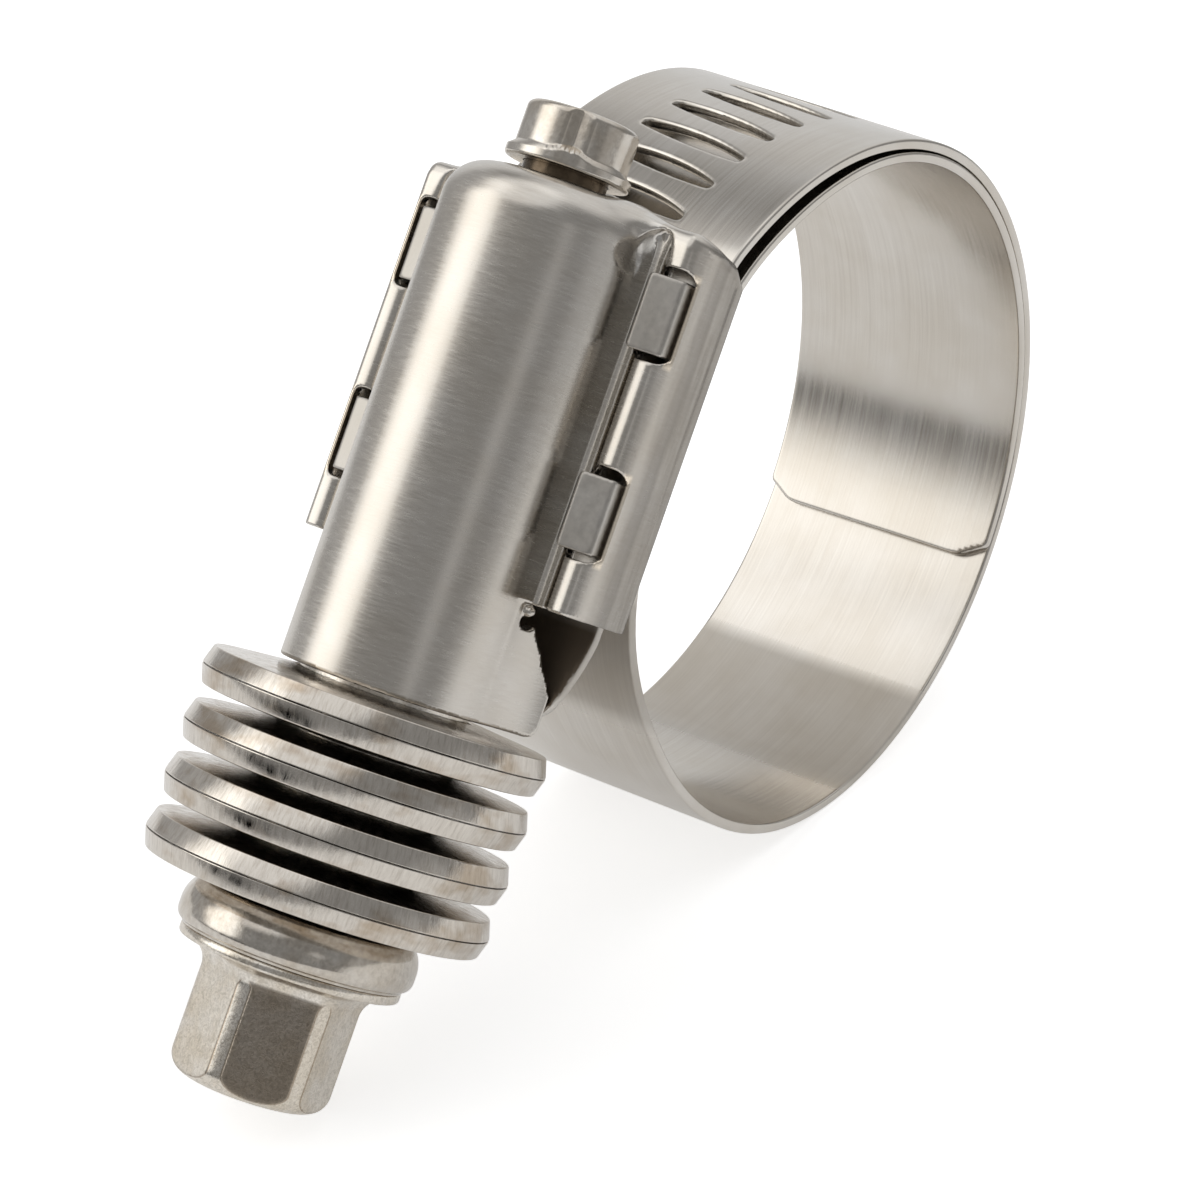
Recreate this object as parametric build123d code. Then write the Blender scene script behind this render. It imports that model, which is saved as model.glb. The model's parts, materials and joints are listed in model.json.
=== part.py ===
from build123d import *
import math
import os

# Local frame of the build, in mm
# a runs along the screw towards the end ferrule, b along the loop's axis
# (the near side is negative), c outward from the loop's centre to the screw.
# The whole build is turned about the loop's axis at the end, so that the
# band and the head of the screw both touch the floor.

# Band
BAND_W = 15.9
BAND_T = 0.6
LOOP_R = 19.8
LAYER_GAP = 0.05
BAND_LIFT = 0.4
TAIL_A = -17.3
TAIL_FULL_A = -12.4
TAIL_ROUND = 6.5
LINER_END_DEG = 181.5
LINER_CUT = (1.2, 2.4)
SLOT_PITCH = 2.85
SLOT_LEN = 7.4
SLOT_W = 1.3
SLOT_SHIFT = 0.28
SLOT_SKEW = -9.0
SLOT_COUNT = 14
SLOT_LAST_DEG = 77.2

# Screw
SCREW_OVER_BAND = 4.95
WORM_R = 4.7
SHANK_R = 4.6
NECK_R = 2.3
WORM_END = 5.1
SHANK_END = -17.0
FLANGE_R = 6.0
FLANGE_T = 0.9
HEX_AF = 7.94
HEX_H = 6.85
HEX_TURN = 40.0
HEX_BODY_R = 4.31
HEX_ROUND = 1.1
HEX_ROOT = 1.2

# Housing
BARREL_R = 5.75
SHEET = 0.7
BARREL_LOW = -18.2
BARREL_TOP = 9.3
END_ROUND = 2.2
WING_SHEET = 0.6
WING_ROOM = 0.12
WING_LOW = -11.55
WING_FOOT = 5.15
CREST_R = 1.0
CREST_H = -0.2
STRIP_GAP = 0.37
STRIP_WIDTH = 0.78
STRIP_H = -0.5
VALLEY_H = -1.0
GROOVE_H = -2.4
WING_CUT = (2.1, 1.5)
WING_END_R = 1.3
POCKET_END = 8.6
POCKET_ARCH = 2.0
GROOVE_WALL = 0.6
STRIP_HOLLOW = 0.12
SKIRT_FROM_H = -1.4
SKIRT_SPREAD = 1.0
SKIRT_CUT = ((-12.4, -1.75), (-16.3, -4.7))
RELIEF = (-12.33, -1.87)
RELIEF_R = 0.42
WINDOW_LEN = 4.85
WINDOW_MID = (4.4, -6.25)
WINDOW_WIDTH = 1.53
WINDOW_RIM = 0.19
WINDOW_ROUND = 0.45
THROAT_H = 1.6
NECK_HOLE_GAP = 0.15

# Saddle
SADDLE_T = 0.42
SADDLE_GAP = 0.13
SADDLE_SEAT = 0.02
SADDLE_A = (-8.3, 6.4)
PLATE_A = (-8.0, 4.6)
SADDLE_WALL_H = -2.7
TAB_LEN = 4.0
TAB_FOLD = 1.46
TAB_FOLD_H = -0.1
TAB_END_H = 0.12
TAB_FOLD_R = 0.55
TAB_ROUND = 0.45

# Spring washers, collar and ferrule
WASHER_R = 9.37
WASHER_TAPER = 0.31
WASHER_BORE = 4.85
WASHER_T = 1.0
WASHER_CONE = 0.435
WASHER_GAP = 0.04
WASHER_PAIRS = 4
STACK_GAP = 0.24
COLLAR_R = 6.4
COLLAR_TAPER = 0.4
COLLAR_T = 2.2
COLLAR_BORE_GAP = 0.08
CAP_LOW = 9.95
CAP_H = 3.15
CAP_R = 3.05
CAP_FLANGE_R = 3.4
CAP_FLANGE_T = 0.7
CAP_WALL = 0.85
CREASE_R = 2.55
CREASE_SLOPE = 0.42
CREASE_TURNS = (-31, 149)

# Values that follow from the sizes above
R_MID = LOOP_R + BAND_T / 2
TOP_MID = R_MID + BAND_LIFT
AXIS_C = TOP_MID + BAND_T / 2 + SCREW_OVER_BAND
LINER_DROP = BAND_T + LAYER_GAP
WASHER_EDGE_R = WASHER_R - WASHER_TAPER
PAIR_PITCH = 2 * (WASHER_T + WASHER_CONE + WASHER_GAP)
STACK_TOP = BARREL_LOW - STACK_GAP
STACK_LOW = STACK_TOP - WASHER_PAIRS * PAIR_PITCH + WASHER_GAP
COLLAR_TOP = STACK_LOW - WASHER_GAP
COLLAR_LOW = COLLAR_TOP - COLLAR_T
FLANGE_TOP = COLLAR_LOW - 0.06
FLANGE_LOW = FLANGE_TOP - FLANGE_T
HEX_LOW = FLANGE_LOW - HEX_H
SKIRT_H = -(SCREW_OVER_BAND - 0.35)
WALL_IN = BAND_W / 2 + SADDLE_GAP
WALL_OUT = WALL_IN + SADDLE_T
WING_HALF = WALL_OUT + WING_ROOM + WING_SHEET
WINDOW_OUT = WING_HALF - WINDOW_RIM
WINDOW_IN = WINDOW_OUT - WINDOW_WIDTH
STRIP_IN = BARREL_R + STRIP_GAP
STRIP_OUT = STRIP_IN + STRIP_WIDTH
TAB_END = WALL_IN - TAB_FOLD
COLLAR_EDGE_R = COLLAR_R - COLLAR_TAPER

# The strip's way out of the housing, in degrees from the outward direction and mm
# off the loop: it rises over the saddle, then closes on to the loop, and its far
# edge closes later than its near edge because the strip is slightly twisted
EXIT_FROM = 13.0
EXIT_BEND = (19.5, 1.36)
EXIT_RISE = 1.42
EXIT_RISE_DEG = (26.0, 87.0)
EXIT_TWIST = 0.75
EXIT_STEP = 6.0
EXIT_TO = 128.0

# The inner layer's way under the housing, in mm off the loop at every step of the turn
UNDER_FROM = -108.0
UNDER_STEP = 9.0
UNDER_OFFSETS = (
    (-0.06, -0.14, -0.20, -0.22, -0.20, -0.06, 0.25, 0.53, 0.52)
    + (0.08, -0.48, -0.66, -0.54, -0.14, -0.15, -0.40, -0.57)
)
UNDER_TO = UNDER_FROM + UNDER_STEP * (len(UNDER_OFFSETS) + 1)


def polar(deg, r):
    t = math.radians(deg)
    return (r * math.sin(t), r * math.cos(t))


def side_plane():
    return Plane((0, 0, 0), x_dir=(1, 0, 0), z_dir=(0, -1, 0))


def section_plane(a):
    return Plane((a, 0, AXIS_C), x_dir=(0, 1, 0), z_dir=(1, 0, 0))


def spline_edge(points, start, end):
    return Spline(*points, tangents=[start, end])


def exit_offset(deg, far_share):
    # how far the strip's centre line is off the loop on its way out
    start, end = EXIT_RISE_DEG
    left = max(0.0, (end - deg) / (end - start))
    turn = math.pi * (deg - start) / (EXIT_TO - start)
    return EXIT_RISE * left**2 + far_share * EXIT_TWIST * math.sin(turn) ** 2


def exit_segment(far_share):
    # far_share is 0 at the near edge and 1 at the far edge
    line_end = (TOP_MID * math.tan(math.radians(EXIT_FROM)), TOP_MID)
    points = [line_end, polar(EXIT_BEND[0], R_MID + EXIT_BEND[1])]
    deg = EXIT_RISE_DEG[0]
    while deg < EXIT_TO - EXIT_STEP / 2:
        points.append(polar(deg, R_MID + exit_offset(deg, far_share)))
        deg += EXIT_STEP
    points.append(polar(EXIT_TO, R_MID))
    t = math.radians(EXIT_TO)
    return line_end, spline_edge(points, (1, 0), (math.cos(t), -math.sin(t)))


def under_segment():
    # the way under the housing, from the outer turn to the liner
    points = [polar(UNDER_FROM, R_MID)]
    for i, off in enumerate(UNDER_OFFSETS):
        points.append(polar(UNDER_FROM + UNDER_STEP * (i + 1), R_MID + off))
    points.append(polar(UNDER_TO, R_MID - LINER_DROP))
    s = math.radians(UNDER_FROM)
    e = math.radians(UNDER_TO)
    return spline_edge(points, (math.cos(s), -math.sin(s)), (math.cos(e), -math.sin(e)))


def offset_points(edge, side, count):
    # points at a constant distance from a plane curve, left of its direction
    out = []
    for i in range(count + 1):
        p = edge.position_at(i / count)
        t = edge.tangent_at(i / count)
        out.append((p.X - t.Y * side, p.Y + t.X * side))
    return out


def offset_curve(edge, side, count=44):
    points = offset_points(edge, side, count)
    t0 = edge.tangent_at(0)
    t1 = edge.tangent_at(1)
    return spline_edge(points, (t0.X, t0.Y), (t1.X, t1.Y))


def turn_arc(r, start, end):
    mid = polar((start + end) / 2, r)
    return ThreePointArc(polar(start, r), mid, polar(end, r))


def band_outline(side, far_share):
    # one face of the strip; side is the signed distance from the centre line
    line_end, exit_curve = exit_segment(far_share)
    tail = Line((TAIL_A, TOP_MID + side), (line_end[0], TOP_MID + side))
    out = [tail, offset_curve(exit_curve, side)]
    out.append(turn_arc(R_MID + side, EXIT_TO, 360 + UNDER_FROM))
    out.append(offset_curve(under_segment(), side))
    out.append(turn_arc(R_MID - LINER_DROP + side, UNDER_TO, LINER_END_DEG))
    return out


def band_edge(far_share):
    # the strip seen from its edge, at its near or far side
    upper = band_outline(BAND_T / 2, far_share)
    lower = band_outline(-BAND_T / 2, far_share)
    tip = Line((TAIL_A, TOP_MID - BAND_T / 2), (TAIL_A, TOP_MID + BAND_T / 2))
    end = Line(upper[-1] @ 1, lower[-1] @ 1)
    place = Plane((0, BAND_W * (far_share - 0.5), 0), x_dir=(1, 0, 0), z_dir=(0, -1, 0))
    return [place * edge for edge in (*upper, *lower, tip, end)]


def side_face(near, far):
    # straight across, or ruled where the strip is twisted
    across = Vector(0, BAND_W, 0)
    off = near.position_at(0.5) + across - far.position_at(0.5)
    if off.length > BAND_T / 1000:
        return Face.make_surface_from_curves(near, far)
    return Face.extrude(near, across)


def band_blank():
    near = band_edge(0)
    far = band_edge(1)
    faces = [side_face(n, f) for n, f in zip(near, far)]
    faces += [make_face(near).face(), make_face(far).face()]
    sewn = Face.sew_faces(faces)[0]
    return Solid(Shell(sewn))


def slot_places():
    # places for the slots, stepped back along the strip from the last one
    line_end, exit_curve = exit_segment(0.5)
    length = exit_curve.length
    best = min(range(401), key=lambda i: abs(angle_of(exit_curve.position_at(i / 400)) - SLOT_LAST_DEG))
    s = best / 400 * length
    places = []
    for _ in range(SLOT_COUNT):
        if s >= 0:
            p = exit_curve.position_at(s / length)
            t = exit_curve.tangent_at(s / length)
            places.append((p.X, p.Y, t.X, t.Y))
        else:
            places.append((line_end[0] + s, TOP_MID, 1.0, 0.0))
        s -= SLOT_PITCH
    return places


def angle_of(p):
    return math.degrees(math.atan2(p.X, p.Y))


def slot_cutter(place):
    a, c, ta, tc = place
    plane = Plane((a, SLOT_SHIFT, c), x_dir=(0, 1, 0), z_dir=(-tc, 0, ta))
    shape = Rot(0, 0, SLOT_SKEW) * SlotOverall(SLOT_LEN, SLOT_W)
    shape = plane.offset(-BAND_T * 0.75) * shape
    return extrude(shape, BAND_T * 2)


def tail_trim():
    # what is cut from the tail's two corners
    tip = TAIL_FULL_A - TAIL_ROUND
    block = Rectangle(2 * TAIL_ROUND, 2 * BAND_W)
    block = Pos(tip, 0) * block
    keep = RectangleRounded(4 * TAIL_ROUND, BAND_W, TAIL_ROUND)
    keep = Pos(tip + 2 * TAIL_ROUND, 0) * keep
    plane = Plane((0, 0, TOP_MID), x_dir=(1, 0, 0), z_dir=(0, 0, 1))
    return extrude(plane * (block - keep), BAND_T, both=True)


def liner_trim():
    # the two cut corners of the inner end of the strip
    a, c = polar(LINER_END_DEG, R_MID - LINER_DROP)
    t = math.radians(LINER_END_DEG)
    plane = Plane((a, 0, c), x_dir=(math.cos(t), 0, -math.sin(t)), z_dir=(math.sin(t), 0, math.cos(t)))
    half = BAND_W / 2
    along, across = LINER_CUT
    past = 0.3
    outline = [(past, half + past), (past, half - across), (-along, half + past)]
    corner = make_face(Polyline(*outline, close=True))
    both = corner + mirror(corner, about=Plane.XZ)
    return extrude(plane * both, BAND_T * 0.5 + 0.01, both=True)


def band():
    solid = band_blank()
    for place in slot_places():
        solid -= slot_cutter(place)
    solid -= tail_trim()
    solid -= liner_trim()
    return solid


def cylinder_along(r, low, high):
    return extrude(section_plane(low) * Circle(r), high - low)


def rounded_rod(r, low, high, fillet_r):
    rod = cylinder_along(r, low, high)
    edge = rod.edges().filter_by(GeomType.CIRCLE).sort_by(Axis.X)[-1]
    return fillet(edge, fillet_r)


def leg_block(half, depth, low, high, fillet_r):
    block = Box(high - low, 2 * half, depth)
    block = Pos((low + high) / 2, 0, AXIS_C - depth / 2) * block
    edges = block.edges().filter_by(Axis.Z).group_by(Axis.X)[-1]
    return fillet(edges, fillet_r)


def flare(half, low, high):
    # the lower end's two spreading skirts, filled; each leaves the straight wall tangentially
    depth = SKIRT_FROM_H - SKIRT_H
    turn_r = (depth**2 + SKIRT_SPREAD**2) / (2 * SKIRT_SPREAD)
    halfway = half + turn_r - math.sqrt(turn_r**2 - (depth / 2) ** 2)
    wide = half + SKIRT_SPREAD
    mid_h = SKIRT_FROM_H - depth / 2
    edges = [
        Line((-half, SKIRT_FROM_H), (half, SKIRT_FROM_H)),
        ThreePointArc((half, SKIRT_FROM_H), (halfway, mid_h), (wide, SKIRT_H)),
        Line((wide, SKIRT_H), (-wide, SKIRT_H)),
        ThreePointArc((-wide, SKIRT_H), (-halfway, mid_h), (-half, SKIRT_FROM_H)),
    ]
    return extrude(section_plane(low) * make_face(edges), high - low)


def side_prism(points, half):
    # a prism along b; points are (a, height over the screw's axis)
    outline = [(a, AXIS_C + h) for a, h in points]
    face = side_plane() * make_face(Polyline(*outline, close=True))
    return extrude(face, half, both=True)


def wing_profile():
    crest_b = WING_HALF - CREST_R
    inner = BARREL_R - SHEET / 2
    turn = (crest_b, CREST_H - CREST_R)
    edges = [
        Line((inner, -WING_FOOT), (WING_HALF, -WING_FOOT)),
        Line((WING_HALF, -WING_FOOT), (WING_HALF, CREST_H - CREST_R)),
        ThreePointArc((WING_HALF, turn[1]), corner_point(turn, CREST_R), (crest_b, CREST_H)),
        Line((crest_b, CREST_H), (inner, CREST_H + 0.15)),
        Line((inner, CREST_H + 0.15), (inner, -WING_FOOT)),
    ]
    return make_face(edges)


def pocket_profile():
    # the valley along the ledge, the upright strip and the groove beside the barrel
    crest_b = WING_HALF - CREST_R
    valley_b = STRIP_OUT + 0.25
    wall = BARREL_R - GROOVE_WALL
    top = 1.0
    middle = ((crest_b + valley_b) / 2, (CREST_H + VALLEY_H) / 2)
    slope = Spline((crest_b, CREST_H), middle, (valley_b, VALLEY_H), tangents=[(-1, 0), (-1, 0)])
    outline = [
        (valley_b, VALLEY_H),
        (STRIP_OUT, VALLEY_H),
        (STRIP_OUT, STRIP_H),
        (STRIP_IN, STRIP_H),
        (STRIP_IN, GROOVE_H),
        (wall, GROOVE_H),
        (wall, top),
        (crest_b, top),
        (crest_b, CREST_H),
    ]
    return make_face([slope, Polyline(*outline)])


def pocket():
    # the press left it open from the ledge's lower end up to a pointed arch
    low = WING_LOW - 1
    body = extrude(section_plane(low) * pocket_profile(), POCKET_END + 1 - low)
    tip = (POCKET_END, (STRIP_IN + STRIP_OUT) / 2)
    near = BARREL_R - GROOVE_WALL - 0.1
    far = WING_HALF - CREST_R
    shoulder = POCKET_END - POCKET_ARCH
    left = (POCKET_END - POCKET_ARCH * 0.35, near + (tip[1] - near) * 0.35)
    right = (POCKET_END - POCKET_ARCH * 0.35, far - (far - tip[1]) * 0.35)
    edges = [
        Line((low, near), (shoulder, near)),
        ThreePointArc((shoulder, near), left, tip),
        ThreePointArc(tip, right, (shoulder, far)),
        Polyline((shoulder, far), (low, far), (low, near)),
    ]
    arch = Plane((0, 0, AXIS_C - BAND_W / 4), x_dir=(1, 0, 0), z_dir=(0, 0, 1)) * make_face(edges)
    return body & extrude(arch, BAND_W / 2)


def wing_cavity():
    # the hollow under the ledge, one sheet below its outside
    inner = WING_HALF - WING_SHEET
    r = CREST_R - WING_SHEET
    crest_b = WING_HALF - CREST_R
    strip = STRIP_OUT - STRIP_HOLLOW
    top = CREST_H - WING_SHEET
    valley = VALLEY_H - WING_SHEET
    edges = [
        Line((inner, -WING_FOOT - 1), (inner, top - r)),
        ThreePointArc((inner, top - r), corner_point((crest_b, top - r), r), (crest_b, top)),
        Line((crest_b, top), (WINDOW_IN, (top * 2 + valley) / 3)),
        Line((WINDOW_IN, (top * 2 + valley) / 3), (strip + 0.3, valley)),
        Line((strip + 0.3, valley), (strip, valley)),
        Line((strip, valley), (strip, -WING_FOOT - 1)),
        Line((strip, -WING_FOOT - 1), (inner, -WING_FOOT - 1)),
    ]
    low = WING_LOW - 1
    return extrude(section_plane(low) * make_face(edges), BARREL_TOP - low)


def window_cutter(mid):
    shape = RectangleRounded(WINDOW_LEN, WINDOW_OUT - WINDOW_IN, WINDOW_ROUND)
    shape = Pos(mid, (WINDOW_IN + WINDOW_OUT) / 2) * shape
    plane = Plane((0, 0, AXIS_C + CREST_H - CREST_R - 0.1), x_dir=(1, 0, 0), z_dir=(0, 0, 1))
    return extrude(plane * shape, 3)


def wing_plan(inset):
    # the ledge seen from above, with its corner cut off, one inset inside its outline
    end = BARREL_TOP - inset
    half = WING_HALF - inset
    cut_a = WING_CUT[0] + inset * 0.6
    cut_b = WING_CUT[1] + inset * 0.4
    outline = [
        (WING_LOW - 1, 0),
        (WING_LOW - 1, half + 1),
        (BARREL_TOP - cut_a, half + 1),
        (BARREL_TOP - cut_a, half),
    ]
    bulge = (end - (cut_a - inset) / 2 + 0.2, WING_HALF - (cut_b + inset) / 2 + 0.2)
    edges = [
        Polyline(*outline),
        ThreePointArc(outline[-1], bulge, (end, WING_HALF - cut_b)),
        Polyline((end, WING_HALF - cut_b), (end, 0), outline[0]),
    ]
    plane = Plane((0, 0, AXIS_C - BAND_W), x_dir=(1, 0, 0), z_dir=(0, 0, 1))
    return extrude(plane * make_face(edges), 2 * BAND_W)


def wing_side(inset):
    # the ledge seen from the side, with its end rounded over
    r = WING_END_R - inset
    end = BARREL_TOP - inset
    top = CREST_H - inset
    low = WING_LOW - 1
    edges = [
        Polyline((end - r, 2), (low, 2), (low, -BAND_W), (end, -BAND_W), (end, top - r)),
        ThreePointArc((end, top - r), corner_point((end - r, top - r), r), (end - r, top)),
        Line((end - r, top), (end - r, 2)),
    ]
    plane = Plane((0, 0, AXIS_C), x_dir=(1, 0, 0), z_dir=(0, -1, 0))
    return extrude(plane * make_face(edges), BAND_W, both=True)


def corner_point(centre, r):
    # the middle of a quarter turn, up and outward of its centre
    return (centre[0] + r * math.sqrt(0.5), centre[1] + r * math.sqrt(0.5))


def wing():
    body = extrude(section_plane(WING_LOW) * wing_profile(), BARREL_TOP - WING_LOW)
    body = body & wing_plan(0) & wing_side(0)
    body -= pocket()
    body -= wing_cavity() & wing_plan(WING_SHEET) & wing_side(WING_SHEET)
    for mid in WINDOW_MID:
        body -= window_cutter(mid)
    return body


def housing():
    solid = rounded_rod(BARREL_R, BARREL_LOW, BARREL_TOP, END_ROUND)
    solid += leg_block(BARREL_R, -SKIRT_H, WING_LOW, BARREL_TOP, END_ROUND)
    solid += leg_block(BARREL_R, THROAT_H, BARREL_LOW, 0, SHEET / 3)
    solid += flare(BARREL_R, BARREL_LOW, WING_LOW)
    right = wing()
    solid += right + mirror(right, about=Plane.XZ)
    # slanted lower edge of the two skirts, and the round relief at its upper end
    upper, lower = SKIRT_CUT
    slant = [(WING_LOW, upper[1]), upper, lower, (WING_LOW, lower[1])]
    solid -= side_prism(slant, BAND_W)
    relief = Plane((RELIEF[0], 0, AXIS_C + RELIEF[1]), x_dir=(1, 0, 0), z_dir=(0, -1, 0))
    solid -= extrude(relief * Circle(RELIEF_R), BAND_W, both=True)
    # room for the screw, the strip and the neck
    inner_r = BARREL_R - SHEET
    room = rounded_rod(inner_r, BARREL_LOW - 1, BARREL_TOP - SHEET, END_ROUND - SHEET)
    room += leg_block(inner_r, BAND_W / 2, BARREL_LOW - 1, BARREL_TOP - SHEET, END_ROUND - SHEET)
    room += flare(inner_r, BARREL_LOW - 1, WING_LOW)
    solid -= room
    length = 2 * (BARREL_TOP - BARREL_LOW)
    passage = Box(length, 2 * (WING_HALF - WING_SHEET), WING_FOOT)
    solid -= Pos(0, 0, AXIS_C + SKIRT_H - WING_FOOT / 2) * passage
    solid -= cylinder_along(NECK_R + NECK_HOLE_GAP, BARREL_TOP - 2 * SHEET, BARREL_TOP + SHEET)
    return solid


def saddle_plate():
    # lies between the two layers of the strip
    high = TOP_MID - BAND_T / 2 - SADDLE_SEAT
    length = PLATE_A[1] - PLATE_A[0]
    plate = Box(length, 2 * WALL_OUT, SADDLE_T)
    return Pos((PLATE_A[0] + PLATE_A[1]) / 2, 0, high - SADDLE_T / 2) * plate


def saddle_wall():
    low = TOP_MID - BAND_T / 2 - SADDLE_SEAT - SADDLE_T
    high = AXIS_C + SADDLE_WALL_H
    length = SADDLE_A[1] - SADDLE_A[0]
    wall = Box(length, SADDLE_T, high - low)
    return Pos((SADDLE_A[0] + SADDLE_A[1]) / 2, (WALL_IN + WALL_OUT) / 2, (high + low) / 2) * wall


def tab(mid):
    # rises through a window and is folded over the ledge towards the barrel
    turn = (WALL_OUT - TAB_FOLD_R, TAB_FOLD_H - TAB_FOLD_R)
    foot = SADDLE_WALL_H - 0.3
    outline = [
        Line((WALL_OUT, foot), (WALL_OUT, turn[1])),
        ThreePointArc((WALL_OUT, turn[1]), corner_point(turn, TAB_FOLD_R), (turn[0], TAB_FOLD_H)),
        Line((turn[0], TAB_FOLD_H), (TAB_END, TAB_END_H)),
        Line((TAB_END, TAB_END_H), (TAB_END, TAB_END_H - SADDLE_T)),
        Line((TAB_END, TAB_END_H - SADDLE_T), (WALL_IN, TAB_FOLD_H - SADDLE_T)),
        Line((WALL_IN, TAB_FOLD_H - SADDLE_T), (WALL_IN, foot)),
        Line((WALL_IN, foot), (WALL_OUT, foot)),
    ]
    low = mid - TAB_LEN / 2
    body = extrude(section_plane(low) * make_face(outline), TAB_LEN)
    corners = body.edges().filter_by(Axis.Z).group_by(Axis.Y)[0]
    return fillet(corners, TAB_ROUND)


def saddle():
    half = saddle_wall()
    for mid in WINDOW_MID:
        half += tab(mid)
    return saddle_plate() + half + mirror(half, about=Plane.XZ)


def turned(edges):
    # a turned piece; its outline is drawn as (a, radius)
    plane = Plane((0, 0, AXIS_C), x_dir=(1, 0, 0), z_dir=(0, -1, 0))
    return revolve(plane * make_face(edges), Axis((0, 0, AXIS_C), (1, 0, 0)), 360)


def revolved(points):
    return turned(Polyline(*points, close=True))


def washer(contact, way):
    # way is 1 where the bore lies towards the ferrule, -1 where it lies towards the head
    base = contact + way * WASHER_GAP / 2
    outline = [
        (base, WASHER_R),
        (base + way * WASHER_T, WASHER_EDGE_R),
        (base + way * (WASHER_T + WASHER_CONE), WASHER_BORE),
        (base + way * WASHER_CONE, WASHER_BORE),
    ]
    return revolved(outline)


def contact_plane(pair):
    return STACK_TOP - WASHER_T - WASHER_CONE - WASHER_GAP / 2 - pair * PAIR_PITCH


def thrust_collar():
    # a domed ring with a plain lower edge
    bore = SHANK_R + COLLAR_BORE_GAP
    bulge = COLLAR_TAPER
    outline = [
        (COLLAR_TOP, bore),
        (COLLAR_TOP, COLLAR_EDGE_R - bulge),
        (COLLAR_TOP - 0.08 * COLLAR_T, COLLAR_EDGE_R - 0.15 * bulge),
        (COLLAR_TOP - 0.25 * COLLAR_T, COLLAR_EDGE_R + 0.45 * bulge),
        (COLLAR_TOP - 0.5 * COLLAR_T, COLLAR_R - 0.1 * bulge),
        (COLLAR_TOP - 0.7 * COLLAR_T, COLLAR_R),
        (COLLAR_LOW + 0.13 * COLLAR_T, COLLAR_R - 0.15 * bulge),
        (COLLAR_LOW + 0.03 * COLLAR_T, COLLAR_EDGE_R + 0.4 * bulge),
        (COLLAR_LOW, COLLAR_EDGE_R),
        (COLLAR_LOW, bore),
    ]
    return revolved(outline)


def hex_flats():
    across = HEX_AF / math.sqrt(3)
    shape = Rot(0, 0, HEX_TURN) * RegularPolygon(across, 6, rotation=0)
    return extrude(section_plane(HEX_LOW) * shape, HEX_H)


def hex_head():
    # six flats cut into a turned body with a rounded end, on a root that widens to the flange
    root = FLANGE_LOW - HEX_ROOT
    wide = HEX_AF / 2 + HEX_ROOT
    diagonal = HEX_ROOT * math.sqrt(0.5)
    end_turn = (HEX_LOW + HEX_ROUND, HEX_BODY_R - HEX_ROUND)
    end_mid = (end_turn[0] - HEX_ROUND * math.sqrt(0.5), end_turn[1] + HEX_ROUND * math.sqrt(0.5))
    body = [
        Line((HEX_LOW, 0), (HEX_LOW, end_turn[1])),
        ThreePointArc((HEX_LOW, end_turn[1]), end_mid, (end_turn[0], HEX_BODY_R)),
        Polyline((end_turn[0], HEX_BODY_R), (FLANGE_LOW, HEX_BODY_R), (FLANGE_LOW, 0), (HEX_LOW, 0)),
    ]
    flare_out = [
        Line((root, 0), (root, HEX_AF / 2)),
        ThreePointArc((root, HEX_AF / 2), (root + diagonal, wide - diagonal), (FLANGE_LOW, wide)),
        Polyline((FLANGE_LOW, wide), (FLANGE_LOW + FLANGE_T / 2, wide), (FLANGE_LOW + FLANGE_T / 2, 0), (root, 0)),
    ]
    return turned(body) & hex_flats(), turned(flare_out)


def screw():
    neck_end = CAP_LOW + CAP_H - CAP_WALL - 0.05
    core = [
        (FLANGE_LOW, 0),
        (FLANGE_LOW, FLANGE_R - 0.3),
        (FLANGE_LOW + 0.22, FLANGE_R),
        (FLANGE_TOP, FLANGE_R),
        (FLANGE_TOP, SHANK_R),
        (SHANK_END - 0.3, SHANK_R),
        (SHANK_END, WORM_R),
        (WORM_END - 0.5, WORM_R),
        (WORM_END, WORM_R - 0.5),
        (WORM_END, NECK_R),
        (neck_end, NECK_R),
        (neck_end, 0),
    ]
    head, root = hex_head()
    return revolved(core) + root + head


def end_ferrule():
    top = CAP_LOW + CAP_H
    outline = [
        (CAP_LOW, NECK_R),
        (CAP_LOW, CAP_FLANGE_R - 0.12),
        (CAP_LOW + 0.15, CAP_FLANGE_R),
        (CAP_LOW + 0.45, CAP_FLANGE_R - 0.02),
        (CAP_LOW + CAP_FLANGE_T, CAP_R),
        (top - 0.4, CAP_R),
        (top - 0.1, CAP_R - 0.22),
        (top, CAP_R - 0.6),
        (top, 0),
        (top - CAP_WALL, 0),
        (top - CAP_WALL, NECK_R),
    ]
    body = revolved(outline)
    # the two creases where the cap was squeezed on to the neck
    reach = CAP_FLANGE_R
    rise = reach * CREASE_SLOPE
    for turn in CREASE_TURNS:
        wedge = Polyline((0, CREASE_R), (reach, CREASE_R + rise), (-reach, CREASE_R + rise), close=True)
        cutter = section_plane(CAP_LOW - 1) * (Rot(0, 0, -turn) * make_face(wedge))
        body -= extrude(cutter, CAP_H + 2)
    return body


def lowest(lean, points):
    return min(a * math.cos(lean) + (AXIS_C - r) * math.sin(lean) for a, r in points)


def head_reach():
    # how far the hexagon reaches below the screw's axis
    off = (270 - (HEX_TURN + 30)) % 60
    off = min(off, 60 - off)
    return min(HEX_BODY_R, HEX_AF / 2 / math.cos(math.radians(off)))


def rest_lean():
    # the lean at which the head of the screw is as low as the loop
    arc = []
    for i in range(31):
        t = math.pi / 2 * i / 30
        a = HEX_LOW + HEX_ROUND * (1 - math.sin(t))
        r = HEX_BODY_R - HEX_ROUND * (1 - math.cos(t))
        arc.append((a, min(r, head_reach())))
    lo = math.radians(5)
    hi = math.radians(80)
    for _ in range(60):
        mid = (lo + hi) / 2
        if lowest(mid, arc) < -(R_MID + BAND_T / 2):
            lo = mid
        else:
            hi = mid
    return math.degrees((lo + hi) / 2)


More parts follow.
